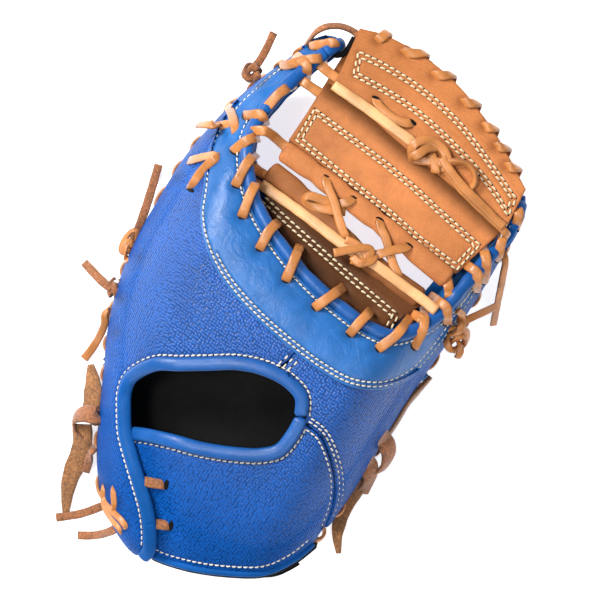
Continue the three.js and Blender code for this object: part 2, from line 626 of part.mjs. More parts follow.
// A flat strip straight from place to place, with its lumps, and the room that it needs
function addLace(name, colour, points, options = {}) {
  const { lumps = [], width = laceWidth, thickness = laceThickness, sides = laceSides(points) } = options
  const last = points.length - 1
  const sections = (room) => points.map((point, i) => {
    const way = points[Math.min(i + 1, last)].clone().sub(points[i]).normalize()
      .add(point.clone().sub(points[Math.max(i - 1, 0)]).normalize()).normalize()
    const side = sides[i].clone().addScaledVector(way, -sides[i].dot(way)).normalize()
    const up = side.clone().cross(way)
    const end = i === 0 ? -room : i === last ? room : 0
    return strip(width + 2 * room, thickness + 2 * room).map(([across, rise]) => (
      point.clone().addScaledVector(side, across).addScaledVector(up, rise).addScaledVector(way, end)))
  })
  // Joined from straight stretches, so that a hairpin turn stays sound
  const join = (room) => [
    ...sections(room).slice(1).map((section, i) => loft([sections(room)[i], section])),
    ...lumps.map(([place, size]) => lump(place, size.map((extent) => extent + 2 * room))),
  ].map(toSolid).reduce((whole, next) => whole.add(next))
  pieces.push({ name, colour, solid: join(0), cutter: join(clearance).add(join(0)) })
}

function lump(place, size) {
  const geometry = new THREE.SphereGeometry(1, 6, 4)
  return geometry.scale(size[0] / 2, size[1] / 2, size[2] / 2).translate(place.x, place.y, place.z)
}

const rollTop = above(crotchHeight, rollHeight / 2 - bindingRise)
const levels = {
  floor: () => 0, back: backHeight, crotch: crotchHeight, strap: strapHeight, web: webHeight, palm: palmHeight, roll: rollTop,
}

// A place on a lace's route: shares in plan, the surface it follows and its height over that
function spot([x, y, on, rise]) {
  const place = new THREE.Vector3(toX(x), toY(y), 0)
  return place.setZ(levels[on](place.x, place.y) + rise)
}
const route = (...rows) => rows.map(spot)

// Whip lacing over the back's rolled edge: up through a hole, over, down beside the palm's roll
function addEdgeLace(name, wraps) {
  const sides = []
  const places = wraps.flatMap((wrap) => {
    const hole = new THREE.Vector3(toX(wrap.x), toY(wrap.y), 0)
    const dive = new THREE.Vector3(toX(wrap.diveX), toY(wrap.diveY), 0)
    const fromHole = nearest(edgePoints, hole.x, hole.y).distance
    const fromDive = nearest(edgePoints, dive.x, dive.y).distance
    const over = hole.clone().lerp(dive, fromHole / (fromHole + fromDive))
    const crest = rollTop(over.x, over.y) + laceLift + laceSlack / 2
    const before = over.clone().lerp(hole, Math.min(rollWidth * 0.75 / fromHole, 0.8))
    const after = over.clone().lerp(dive, rollWidth * 0.75 / fromDive)
    const share = nearest(edgePoints, over.x, over.y).share / (edgePoints.length - 1)
    const tangent = edgeCurve.getTangent(share)
    const square = dive.clone().sub(hole).normalize().cross(zUp)
    if (square.dot(tangent) < 0) square.negate()
    sides.push(...Array(6).fill(square.add(tangent).normalize()))
    return [
      hole.clone().setZ(crotchHeight(hole.x, hole.y) - underRun),
      hole.clone().setZ(crotchHeight(hole.x, hole.y) + laceLift + laceSlack),
      before.setZ(crest - rollHeight / 4),
      over.clone().setZ(crest),
      after.clone().setZ(crest - rollHeight / 2),
      after.clone().setZ(crest - rollHeight - underRun),
    ]
  })
  addLace(name, colours.lace, places, { sides })
}

// Whip lacing over the web's top edge, between its two layers
function addWebEdgeLace(wraps) {
  const at = (point, inset, rise) => (
    new THREE.Vector3(point.x, point.y - inset, webHeight(point.x, point.y - inset) + rise))
  const sides = []
  const places = Array.from({ length: wraps }, (_, i) => {
    const place = webCurves.top.getPointAt((i + 0.6) / (wraps + 0.2))
    const next = webCurves.top.getPointAt((i + 0.9) / (wraps + 0.2))
    sides.push(...Array(4).fill(webCurves.top.getTangentAt((i + 0.6) / (wraps + 0.2))))
    return [at(place, laceWidth * 1.2, -webDepth / 2 - webLeather / 2), at(place, laceWidth * 1.2, laceLift + laceSlack),
      at(place, -laceLift - laceSlack, laceLift), at(next, -laceLift - laceSlack, -webDepth / 2 - webLeather / 2)]
  }).flat()
  addLace('web_edge_lace', colours.lace, places, { sides })
}

addEdgeLace('finger_edge_lace', edgeWraps.finger_edge_lace)
addEdgeLace('crotch_edge_lace', edgeWraps.crotch_edge_lace)
addEdgeLace('thumb_edge_lace', edgeWraps.thumb_edge_lace)
addWebEdgeLace(9)

// The web's ties, their knots, and the crossed laces that draw its roll and bar together
const lie = laceLift + laceSlack
const ride = lie + laceThickness + clearance
addLace('web_top_tie', colours.lace, route(
  [-26.8, 34.5, 'web', lie], [-13.0, 34.1, 'web', lie], [0.0, 33.5, 'web', lie],
  [14.0, 32.2, 'web', lie], [24.0, 31.4, 'web', lie], [38.5, 29.9, 'web', lie],
), { lumps: [[spot([9, 33.4, 'web', ride]), [17, 12, 7]], [spot([21, 33.6, 'web', ride]), [15, 9, 6]]] })
addLace('web_top_loop', colours.lace, route(
  [-13.5, 36.1, 'web', -webLeather / 2], [-12.0, 35.9, 'web', lie], [-7.0, 35.6, 'web', lie],
  [-3.0, 35.8, 'web', lie], [-1.5, 36.0, 'web', -webLeather / 2],
))
addLace('web_base_tie', colours.lace, route(
  [-27.9, 12.9, 'web', lie], [-10.5, 11.9, 'web', lie], [4.0, 11.2, 'web', lie],
  [18.0, 10.3, 'web', lie], [31.0, 10.6, 'web', lie],
), { lumps: [[spot([6.5, 11.6, 'web', ride + laceThickness]), [20, 12, 7]]] })
const overBar = barHeight / 2 + lie
const crossLace = (x, y) => route(
  [x - 13.2, y + 19.4, 'web', overBar], [x - 6.0, y + 16.6, 'web', overBar], [x + 0.8, y + 14.0, 'web', overBar],
  [x - 7.0, y + 13.6, 'web', overBar], [x - 15.4, y + 14.8, 'web', overBar],
  [x - 9.8, y + 17.0, 'web', overBar + onLace], [x - 3.2, y + 19.4, 'web', overBar],
)
addLace('x_lace_left', colours.lace, crossLace(0, 0))
addLace('x_lace_right', colours.lace, crossLace(21.6, -1.4))

// Laces from the web's ends round under the rolled edge
addLace('link_lace_upper', colours.lace, route(
  [-26.8, 36.0, 'web', lie], [-30.4, 36.0, 'web', lie], [-34.0, 35.6, 'crotch', -13], [-37.6, 34.8, 'crotch', -13],
  [-38.6, 32.6, 'crotch', -13], [-35.0, 31.8, 'crotch', -13], [-31.4, 31.8, 'web', lie], [-28.8, 31.8, 'web', lie],
))
addLace('link_lace_lower', colours.lace, route(
  [-29.0, 20.8, 'web', overBar], [-33.0, 20.6, 'web', overBar], [-37.0, 20.0, 'crotch', -13], [-38.4, 17.8, 'crotch', -13],
  [-35.4, 15.6, 'crotch', -13], [-32.6, 15.2, 'web', overBar], [-29.0, 15.2, 'web', overBar],
))
addLace('link_lace_thumb', colours.lace, route(
  [28.8, 12.0, 'web', overBar], [32.6, 10.4, 'web', overBar], [35.4, 8.6, 'roll', lie],
))

// Knots and tails of the side lacing, on the finger side and then on the thumb side
addLace('side_lace', colours.lace, route(
  [-44.4, 18.6, 'crotch', lie + 2], [-47.0, 20.6, 'crotch', lie + 4], [-51.6, 21.0, 'floor', 42], [-54.8, 19.4, 'floor', 16],
  [-56.0, 16.0, 'floor', 3],
))
addLace('side_loop', colours.lace, route(
  [-50.4, 10.2, 'crotch', lie + 4], [-48.0, 12.2, 'crotch', lie + 4], [-45.4, 12.4, 'crotch', lie + 3],
  [-44.2, 10.6, 'crotch', lie + 2], [-46.4, 7.0, 'crotch', lie + 2],
))
addLace('finger_knot_upper', colours.lace, route(
  [-46.2, 28.2, 'crotch', lie + 4], [-49.8, 28.2, 'floor', 44], [-50.6, 30.0, 'floor', 38], [-52.6, 36.5, 'floor', 30],
), { lumps: [[spot([-49.8, 28.4, 'floor', 41]), [9, 12, 9]]] })
addLace('finger_knot_middle', colours.lace, route(
  [-50.4, -8.8, 'back', lie + 3], [-54.8, -8.0, 'floor', 28], [-57.4, -4.0, 'floor', 8], [-59.4, 1.5, 'floor', 2],
  [-61.0, 6.5, 'floor', 2],
), { lumps: [[spot([-55.4, -7.8, 'floor', 18]), [9, 18, 10]]] })
addLace('finger_knot_lower', colours.lace, route(
  [-46.4, -17.4, 'back', lie + 3], [-51.2, -16.2, 'floor', 28], [-55.0, -15.4, 'floor', 6], [-62.6, -14.9, 'floor', 2],
), { lumps: [[spot([-51.4, -16.2, 'floor', 17]), [8, 14, 9]]] })
addLace('finger_tail_low', colours.lace, route(
  [-43.0, -20.4, 'back', lie + 3], [-47.6, -22.4, 'floor', 30], [-47.2, -26.0, 'floor', 8], [-46.6, -30.0, 'floor', 2],
))
addLace('thumb_knot', colours.lace, route(
  [42.4, 5.6, 'crotch', lie + 4], [45.4, 9.0, 'crotch', lie + 5], [48.8, 12.0, 'floor', 30], [52.0, 17.9, 'floor', 2],
), { lumps: [[spot([44.8, 8.8, 'crotch', ride + 5]), [12, 18, 9]]] })
addLace('thumb_tail', colours.lace, route(
  [42.8, 27.4, 'crotch', lie + 4], [46.8, 26.4, 'crotch', lie + 4], [50.0, 22.0, 'floor', 16], [55.3, 14.9, 'floor', 2],
))

// Laces through the flap and strap, and the flap's tails
addLace('flap_lace_upper', colours.lace, route(
  [-11.0, -41.2, 'back', 4 + lie], [-9.0, -40.4, 'back', 4 + lie], [-4.0, -38.9, 'strap', lie],
))
addLace('flap_lace_lower', colours.lace, route(
  [-3.6, -45.8, 'back', 3 + lie], [-0.4, -45.4, 'back', 3 + lie], [4.0, -44.4, 'strap', lie],
))
addLace('flap_cross_lace', colours.lace, route(
  [-18.9, -45.4, 'back', lie + 2], [-14.5, -47.0, 'back', lie + 2], [-7.4, -48.6, 'back', lie + 2],
))
addLace('flap_tail_outer', colours.lace, route(
  [-17.4, -46.4, 'back', lie + 2 + onLace], [-21.6, -50.2, 'floor', 24], [-24.0, -53.0, 'floor', 2], [-28.0, -55.7, 'floor', 2],
))
addLace('flap_tail_inner', colours.lace, route(
  [-10.5, -48.4, 'back', lie + 2 + onLace], [-12.0, -53.0, 'floor', 30], [-15.0, -54.8, 'floor', 4], [-19.3, -56.4, 'floor', 2],
))

// Suede straps on the two sides of the heel, each held in a keeper
const suede = { width: strapWidth, thickness: strapThickness }
const strapLie = lie + strapThickness / 2
addLace('finger_strap', colours.suede, route(
  [-40.6, -25.0, 'back', strapLie + 3], [-42.0, -31.0, 'floor', 14], [-39.4, -36.4, 'floor', 9], [-35.4, -42.4, 'floor', 3],
  [-31.8, -49.0, 'floor', 2], [-25.6, -54.0, 'floor', 2],
), suede)
addLace('finger_strap_keeper', colours.lace, route(
  [-35.4, -32.4, 'back', lie + 3], [-37.6, -36.4, 'floor', 18], [-40.4, -38.6, 'floor', 12], [-41.6, -39.4, 'floor', 2],
))
addLace('thumb_strap', colours.suede, route(
  [44.4, 1.5, 'back', strapLie + 3], [48.6, -4.0, 'floor', 20], [48.6, -11.0, 'floor', 14], [49.4, -18.0, 'floor', 10],
  [49.6, -27.0, 'floor', 4], [53.0, -33.8, 'floor', 2],
), suede)
addLace('thumb_strap_keeper', colours.lace, route(
  [44.0, -13.6, 'back', lie + 3], [48.4, -13.8, 'floor', 24], [51.6, -14.4, 'floor', 15], [53.2, -14.8, 'floor', 6],
))

// The largest body of a solid: thin offcuts beside a cut are left out
function largest(solid) {
  const bodies = solid.decompose()
  return bodies.reduce((best, body) => (body.volume() > best.volume() ? body : best), bodies[0])
}

const mitt = new THREE.Group()
mitt.name = 'first_baseman_mitt'
pieces.forEach((piece, i) => {
  const cut = pieces.slice(i + 1).reduce(
    (solid, next) => (next.cutter ? solid.subtract(next.cutter) : solid), piece.solid)
  const material = new THREE.MeshStandardMaterial({ color: piece.colour, roughness: 0.6, metalness: 0 })
  const mesh = new THREE.Mesh(toGeometry(largest(cut)), material)
  mesh.name = piece.name
  mitt.add(mesh)
})

// The origin is the middle of the bottom of the whole mitt's box
const box = new THREE.Box3().setFromObject(mitt)
mitt.position.set(-(box.min.x + box.max.x) / 2, -(box.min.y + box.max.y) / 2, -box.min.z)

export default mitt
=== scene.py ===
"""A first baseman mitt for the left hand, lying palm down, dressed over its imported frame.

Row frame: +X is the thumb side, +Y the fingertips, +Z the back of the hand. Places in the
tables are in millimetres from the middle of the mitt's leather, or in percent of its width,
length and height where a heading says so.
"""

import math

import bpy
import numpy as np
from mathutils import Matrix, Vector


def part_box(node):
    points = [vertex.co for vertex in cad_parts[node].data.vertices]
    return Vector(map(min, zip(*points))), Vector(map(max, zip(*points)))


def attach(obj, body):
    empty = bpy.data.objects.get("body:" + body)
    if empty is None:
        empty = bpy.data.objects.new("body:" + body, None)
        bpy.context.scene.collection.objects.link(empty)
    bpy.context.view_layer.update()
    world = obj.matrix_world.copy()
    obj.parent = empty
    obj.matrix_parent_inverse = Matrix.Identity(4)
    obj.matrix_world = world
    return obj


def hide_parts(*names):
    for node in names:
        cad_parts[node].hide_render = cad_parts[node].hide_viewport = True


bl_info = {
    "name": "First baseman mitt",
    "version": (1, 0, 0),
    "blender": (4, 5, 0),
    "location": "View3D > Sidebar > Mitt",
    "description": "Leather, web, lacing, stitches and stage of a first baseman mitt",
    "category": "Object",
}

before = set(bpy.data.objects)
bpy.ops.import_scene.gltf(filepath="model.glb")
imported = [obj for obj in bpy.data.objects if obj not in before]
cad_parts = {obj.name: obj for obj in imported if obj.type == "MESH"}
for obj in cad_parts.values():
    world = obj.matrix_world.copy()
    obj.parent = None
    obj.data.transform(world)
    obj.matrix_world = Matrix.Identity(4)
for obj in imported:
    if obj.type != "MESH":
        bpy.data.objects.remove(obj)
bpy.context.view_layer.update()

# The mitt's leather, as the solids have it: sizes, then where panels end and edges are cut
WIDTH = 190.0
LENGTH = 336.0
HEIGHT = 102.0
LEATHER = 2.4
LAP_GAP = 1.3
ROLL_WIDTH = 7.4
ROLL_HEIGHT = 6.0
WEB_LEATHER = 2.6
LAP = 4.0
MID_PANEL_LEFT = -56.05
MID_PANEL_TOP = 114.9
BASE_TOP_RISE = 3.2
BASE_ROLL_FALL = 3.0
WALL_TOP = 50.0
PALM_INSET = 1.2
CUT_EDGE = -3.2
WEB_ROLL = (12.8, 7.4)
WEB_ROLL_TOP = 3.7
BINDING = (8.0, 4.8)

# Part of the U that the roll covers, and places measured at a time
ROLL_PART = (0.012, 0.988)
CHUNK = 8192

# How the seams are cut into steps: before and after the short edge at the wrist hole
SEAM_STEPS = [170, 120]
PALM_ROWS = 250
PALM_COLUMNS = 56

# Stage, in metres and watts: place, size and power of each lamp
PICTURE_WIDTH = 0.348
SENSOR_WIDTH = 36.0
CAMERA_HEIGHT = 3.0
CAMERA_MIDDLE = 0.07
CAMERA_TURN = 33.0
FLOOR_REACH = 2.5
FLOOR_LEVEL = -0.0004
# The floor's glow: painted light that lifts the shadows cast on it.
FLOOR_GLOW = 0.68
SURROUND_GLOW = 0.3
LAMP_AIM = (0, 0, 0.05)
LAMPS = {
    "key lamp": ((-1.45, 0.25, 1.35), 0.7, 44),
    "overhead lamp": ((-0.56, -0.3, 2.2), 0.4, 21),
    "fill lamp": ((1.1, -0.9, 1.9), 1.2, 12),
}

# Outline from the fingertip round the heel to the thumb tip, in percent:
# x, y, lift of the back's edge, turn of the wall, lift of the palm's edge
RIM = np.array([
    (-32.6, 42.0, 61, 17, 50), (-37.9, 40.8, 54, 17, 43), (-42.1, 36.3, 38, 18, 29),
    (-46.3, 31.0, 21, 19, 15), (-50.0, 25.0, 8, 20, 5), (-52.6, 18.5, 2, 21, 0),
    (-54.5, 10.4, 0, 23, 0), (-54.2, 1.5, 0, 25, 0), (-53.2, -7.4, 0, 25, 0),
    (-50.0, -15.8, 0, 25, 0), (-45.3, -22.9, 0, 25, 0), (-39.5, -29.2, 0, 25, 0),
    (-33.7, -35.7, 0, 24, 0), (-27.4, -42.0, 2, 23, 0), (-19.5, -47.6, 8, 20, 0),
    (-9.5, -51.5, 20, 16, 0), (0.0, -53.1, 30, 14, 0), (5.3, -51.8, 36, 14, 0),
    (15.8, -50.1, 42, 16, 0), (27.4, -47.0, 45, 18, 0), (36.8, -43.5, 42, 18, 0),
    (42.1, -39.0, 32, 18, 0), (45.3, -33.3, 14, 18, 0), (46.3, -26.8, 3, 19, 0),
    (46.3, -18.5, 0, 20, 0), (45.5, -8.3, 0, 20, 0), (45.5, 1.5, 0, 18, 0),
    (46.0, 10.4, 0, 15, 0), (46.0, 18.5, 5, 13, 0), (45.3, 25.3, 17, 12, 8),
    (43.9, 31.0, 36, 11, 25), (42.1, 35.1, 54, 10, 42), (39.5, 37.2, 62, 10, 50),
])

# Plan curves in percent: the U that the web fills, the crotch seam, the wrist hole and flap,
# the strap's upper edge, its seam with the thumb panel and its lower edge
EDGE = np.array([
    (-32.6, 40.8), (-35.8, 36.3), (-38.4, 31.0), (-40.3, 25.0), (-40.0, 19.6), (-37.4, 15.8),
    (-31.6, 11.9), (-23.7, 8.6), (-10.5, 5.4), (0.0, 3.7), (10.5, 2.8), (21.1, 2.5),
    (28.4, 3.3), (34.2, 6.5), (37.9, 11.3), (39.5, 17.3), (41.1, 23.8), (42.2, 29.2),
    (40.8, 34.2),
])
SEAM = np.array([
    (-39.6, 39.4), (-43.2, 34.5), (-46.8, 28.6), (-49.7, 21.4), (-49.5, 14.9), (-46.8, 10.7),
    (-43.7, 7.4), (-39.5, 2.7), (-32.6, -1.2), (-23.7, -4.2), (-10.5, -6.5), (2.6, -7.7),
    (15.8, -8.3), (27.4, -7.7), (36.8, -4.8), (42.1, -0.3), (44.2, 6.0), (44.7, 14.9),
    (44.4, 23.2), (43.2, 29.2), (41.5, 34.6),
])
OPENING = np.array([
    (19.5, -16.7), (16.3, -13.8), (10.5, -12.8), (2.6, -13.2), (-5.3, -14.9), (-13.2, -17.9),
    (-20.0, -20.5), (-26.3, -22.9), (-30.3, -27.1), (-29.5, -29.8), (-26.8, -32.4),
    (-22.6, -35.7), (-16.8, -38.7), (-10.5, -41.7), (-4.2, -44.9), (0.5, -48.2),
    (2.9, -50.9), (2.6, -52.5),
])
STRAP_TOP = np.array([
    (20.0, -17.5), (20.3, -20.2), (19.5, -23.5), (15.8, -25.8), (9.5, -28.0), (0.0, -30.5),
    (-9.5, -32.3), (-17.4, -34.1), (-21.0, -35.2),
])
STRAP_SEAM = np.array([
    (22.0, -17.3), (27.4, -17.6), (32.6, -19.3), (38.4, -22.3), (42.6, -26.2), (44.9, -31.0),
])
STRAP_LOW = np.array([
    (-10.0, -48.6), (0.0, -50.8), (5.3, -51.2), (15.8, -49.5), (27.4, -46.4), (36.6, -42.9),
    (41.8, -38.4), (44.3, -34.4),
])

# Heights along the mitt in percent: y, height
BACK = np.array([
    (-53.0, 50), (-45.0, 62), (-38.7, 73), (-32.7, 82), (-25.3, 90), (-17.9, 95), (-8.9, 99),
    (0.0, 100), (8.9, 99), (17.9, 96), (25.3, 93), (31.3, 89), (37.2, 83), (42.3, 75),
])
PALM = np.array([
    (-53.0, 0), (-44.0, 0), (-38.0, 8), (-32.0, 21), (-25.0, 36), (-12.0, 51), (0.0, 61),
    (9.0, 69), (18.0, 76), (30.0, 77), (37.0, 72), (42.0, 64),
])
WEB = np.array([
    (2.0, 91), (5.0, 89), (8.0, 87), (11.0, 84), (14.0, 81), (19.0, 79), (28.0, 79),
    (34.0, 78), (39.0, 74), (47.0, 64),
])

# Curves across the web from its finger end to its thumb end, in percent
WEB_LINES = {
    "top": [(-30.0, 45.2), (-21.1, 46.7), (0.0, 46.7), (21.1, 42.9), (39.5, 37.3)],
    "top_low": [(-26.8, 33.4), (-13.2, 33.0), (0.0, 31.9), (26.3, 30.2), (41.0, 29.0)],
    "mid_top": [(-29.2, 34.2), (-13.2, 34.2), (0.0, 33.2), (26.3, 31.6), (41.0, 30.2)],
    "mid_low": [(-29.5, 22.0), (-15.8, 21.5), (0.0, 21.0), (15.8, 20.0), (35.4, 18.4)],
    "bar": [(-29.5, 20.1), (-15.8, 19.7), (0.0, 19.0), (15.8, 18.1), (34.9, 16.9)],
    "base_roll": [(-29.7, 15.9), (-15.8, 15.2), (0.0, 13.8), (13.2, 12.8), (31.0, 12.3)],
    "base_top": [(-28.7, 13.1), (-10.5, 12.2), (0.0, 11.4), (15.8, 10.6), (32.6, 10.4)],
    "base_low": [(-23.7, 10.3), (-10.5, 6.2), (0.0, 4.4), (14.0, 3.4), (26.6, 3.6)],
    "front_low": [(-29.2, 19.4), (-13.2, 18.8), (0.0, 18.2), (15.8, 17.2), (34.7, 16.2)],
}

# Wraps of the edge lacing in millimetres: the hole, where it crosses the roll, where it dives
WRAPS = {
    "finger_edge_lace": [
        (-75, 127, -71, 138, -60.5, 136), (-83, 108, -76, 122, -60, 124),
        (-80, 118, -70, 116, -62, 109.5), (-77, 81, -75, 93, -70, 103),
        (-85, 72, -77, 78, -66, 75), (-79, 51, -77.5, 60, -66, 67), (-67, 35, -70, 47, -61.5, 61),
    ],
    "crotch_edge_lace": [
        (-54, 22, -59.5, 33, -57.5, 45), (-35.5, 12, -37.5, 20.5, -35, 31),
        (-13, 5, -15.5, 15, -17, 26), (9.5, 1, 13, 10, 17, 20), (34.5, -1, 36, 8.5, 37.5, 17),
        (53, 1, 58.5, 11, 59, 26),
    ],
    "thumb_edge_lace": [
        (70, 13, 72.5, 22.5, 66, 36), (79, 35, 74, 42.5, 62, 43.5), (83, 60, 79, 68.5, 71, 69),
        (84, 67, 80.5, 77, 74, 83), (83.5, 82, 82, 90, 78.5, 98), (82.5, 103, 81.5, 112, 76, 118),
    ],
}
# Laces round the web's upper edge: x, y of the hole and x over the edge
TOP_WRAPS = [(-44.5, 150.5, -42), (-28, 153.0, -17), (-6, 151.5, 3), (17, 147.5, 24),
             (34.5, 142.5, 40.5), (46.5, 136.5, 52.5), (58, 130, 64)]
PALM_DIVES = {"finger_edge_lace": 7, "crotch_edge_lace": 1, "thumb_edge_lace": 6}


def millimetres(rows):
    """x and y columns in percent of the width and length, turned to millimetres."""
    rows = np.asarray(rows, float)[:, :2]
    return rows * (WIDTH / 100, LENGTH / 100)


def spline(points, steps=12, even=False):
    """Catmull-Rom pieces through points. With knot steps d = |chord|^(1/2) (or 1 where even),
    the tangent at a knot is ((p1-p0)/d0 - (p2-p0)/(d0+d1) + (p2-p1)/d1) d1, and each piece is
    the Hermite cubic on its ends and tangents; past the ends the points are mirrored."""
    p = np.asarray(points, float)
    p = np.vstack([2 * p[0] - p[1], p, 2 * p[-1] - p[-2]])
    gap = np.maximum(np.linalg.norm(np.diff(p, axis=0), axis=1), 1e-9)[:, None]
    d = np.ones_like(gap) if even else np.sqrt(gap)
    p0, p1, p2, p3 = p[:-3], p[1:-2], p[2:-1], p[3:]
    d0, d1, d2 = d[:-2], d[1:-1], d[2:]
    if even:
        m1, m2 = (p2 - p0) / 2, (p3 - p1) / 2
    else:
        m1 = ((p1 - p0) / d0 - (p2 - p0) / (d0 + d1) + (p2 - p1) / d1) * d1
        m2 = ((p2 - p1) / d1 - (p3 - p1) / (d1 + d2) + (p3 - p2) / d2) * d1
    t = (np.arange(steps) / steps)[None, :, None]
    p1, p2, m1, m2 = p1[:, None], p2[:, None], m1[:, None], m2[:, None]
    curve = ((2 * t**3 - 3 * t**2 + 1) * p1 + (t**3 - 2 * t**2 + t) * m1
             + (3 * t**2 - 2 * t**3) * p2 + (t**3 - t**2) * m2)
    return np.vstack([curve.reshape(-1, p.shape[1]), p[-2]])


def lengths(points):
    """Length along a chain of points up to each of them."""
    return np.concatenate([[0], np.cumsum(np.linalg.norm(np.diff(points, axis=0), axis=1))])


def read_off(table, want, at=None):
    """Each column of a table, read between its rows, which stand at 0, 1, 2 or as given."""
    at = np.arange(len(table)) if at is None else at
    return np.stack([np.interp(want, at, column) for column in np.asarray(table, float).T], axis=-1)


def unit(vectors):
    """Vectors over their lengths, v / |v|."""
    return vectors / np.maximum(np.linalg.norm(vectors, axis=-1, keepdims=True), 1e-9)


def at_shares(points, shares):
    """Places on a chain at shares of its length."""
    run = lengths(points)
    return read_off(points, np.asarray(shares) * run[-1], run)


def sampled(points, count, start=0.0, end=1.0):
    """Equal steps along a chain between two shares of its length."""
    return at_shares(points, np.linspace(start, end, count + 1))


def stretches(points, shares, counts):
    """Equal steps between each two of several shares of a chain."""
    parts = [np.linspace(a, b, n, endpoint=False) for a, b, n in zip(shares, shares[1:], counts)]
    return at_shares(points, np.concatenate(parts + [[shares[-1]]]))


def nearest(chain, x, y):
    """Distance in plan from each (x, y) to a chain, and the share of steps along it there.
    For a piece a to b, t = clamp((p-a).(b-a) / |b-a|^2), distance = |p - a - t (b-a)|."""
    shape = np.shape(x)
    px, py = np.ravel(x), np.ravel(y)
    a = chain[:-1, :2]
    run = chain[1:, :2] - a
    square = np.maximum((run**2).sum(axis=1), 1e-12)
    distance = np.empty(px.size)
    share = np.empty(px.size)
    for start in range(0, px.size, CHUNK):
        part = slice(start, start + CHUNK)
        dx = px[part, None] - a[:, 0]
        dy = py[part, None] - a[:, 1]
        t = np.clip((dx * run[:, 0] + dy * run[:, 1]) / square, 0, 1)
        away = (dx - t * run[:, 0]) ** 2 + (dy - t * run[:, 1]) ** 2
        best = away.argmin(axis=1)
        rows = np.arange(best.size)
        distance[part] = np.sqrt(away[rows, best])
        share[part] = best + t[rows, best]
    return distance.reshape(shape), share.reshape(shape)


def share_near(points, place):
    """Share of a chain's length nearest a plan place in percent."""
    even = sampled(points, 400)
    x, y = millimetres([place])[0]
    return float(nearest(even, np.array([x]), np.array([y]))[1][0]) / 400


def shifted(points, distance):
    """A plan chain moved to the left of its way by a number or one for each point."""
    way = np.gradient(points[:, :2], axis=0)
    side = unit(np.stack([-way[:, 1], way[:, 0]], axis=1))
    return points[:, :2] + side * np.reshape(distance, (-1, 1))


def along(table, y):
    """Cubic Hermite height at y, with the slope at a row that of the chord between its
    neighbours: z = h00 z0 + h10 s m0 + h01 z1 + h11 s m1."""
    ty, tz = table[:, 0], table[:, 1]
    last = len(ty) - 1
    share = np.clip(np.asarray(y) / LENGTH * 100, ty[0], ty[-1])
    i = np.clip(np.searchsorted(ty, share, side="left") - 1, 0, last - 1)
    before = np.maximum(np.arange(last + 1) - 1, 0)
    after = np.minimum(np.arange(last + 1) + 1, last)
    slope = (tz[after] - tz[before]) / (ty[after] - ty[before])
    span = ty[i + 1] - ty[i]
    t = (share - ty[i]) / span
    z = ((2 * t**3 - 3 * t**2 + 1) * tz[i] + (t**3 - 2 * t**2 + t) * span * slope[i]
         + (3 * t**2 - 2 * t**3) * tz[i + 1] + (t**3 - t**2) * span * slope[i + 1])
    return z * HEIGHT / 100


def smooth(value, low, high):
    """3 t^2 - 2 t^3 by the share t of the way from low to high."""
    t = np.clip((value - low) / (high - low), 0, 1)
    return t * t * (3 - 2 * t)


RIM_CHAIN = spline(millimetres(RIM), 8)
RIM_VALUES = spline(RIM[:, 2:] * (HEIGHT / 100, WIDTH / 100, HEIGHT / 100), 8, even=True)
EDGE_CHAIN = spline(millimetres(EDGE), 10)
SEAM_CHAIN = spline(millimetres(SEAM), 12)
OPENING_CHAIN = spline(millimetres(OPENING), 12)
STRAP_TOP_CHAIN = spline(millimetres(STRAP_TOP), 12)
STRAP_SEAM_CHAIN = spline(millimetres(STRAP_SEAM), 12)
STRAP_LOW_CHAIN = spline(millimetres(STRAP_LOW), 12)
WEB_CHAINS = {name: spline(millimetres(rows), 20) for name, rows in WEB_LINES.items()}
# The base panel's upper edge and the roll under it part toward the thumb
for name, rise, start, width in (("base_top", BASE_TOP_RISE, -10, 25),
                                 ("base_roll", -BASE_ROLL_FALL, -35, 35)):
    WEB_CHAINS[name][:, 1] += rise * np.clip((WEB_CHAINS[name][:, 0] - start) / width, 0, 1)


def palm_reach(share):
    """How far the palm's edge stands inside the U: 1 round the crotch, 0 beside the fingertips."""
    return smooth(share, 0.24, 0.40) * (1 - smooth(share, 0.86, 0.97))


EDGE_BODY = sampled(EDGE_CHAIN, 400, *ROLL_PART)
PALM_EDGE = shifted(EDGE_BODY, PALM_INSET + (ROLL_WIDTH * 1.5 - PALM_INSET)
                    * palm_reach(np.linspace(*ROLL_PART, 401)))
SHORT_TOP = share_near(SEAM_CHAIN, (7.6, -8.0))
SHORT_LOW = share_near(OPENING_CHAIN, (6.6, -12.8))
FLAP_START = share_near(OPENING_CHAIN, (-30.3, -27.1))


def rim_at(x, y):
    """Distance to the rim and its lift, turn and palm lift there."""
    distance, share = nearest(RIM_CHAIN, x, y)
    lift, turn, palm = (np.interp(share, np.arange(len(RIM_VALUES)), column)
                        for column in RIM_VALUES.T)
    return distance, lift, turn, np.maximum(palm, 0)


def back_height(x, y):
    """The back's top: foot + (crown - foot) (1 - (1 - d/turn)^2.2)^(1/2.2) less a fall to the
    U's edge, where the crown falls with the square of the distance from its crest."""
    distance, lift, turn, _ = rim_at(x, y)
    crown = along(BACK, y) - 7 * ((x - WIDTH * -0.04) / (WIDTH / 2)) ** 2
    left = 1 - np.minimum(distance / turn, 1)
    shoulder = (1 - left**2.2) ** (1 / 2.2)
    inward = np.maximum(0, 1 - nearest(EDGE_CHAIN, x, y)[0] / 25)
    foot = lift + 0.6
    return foot + (crown - foot) * shoulder - 5 * inward**2


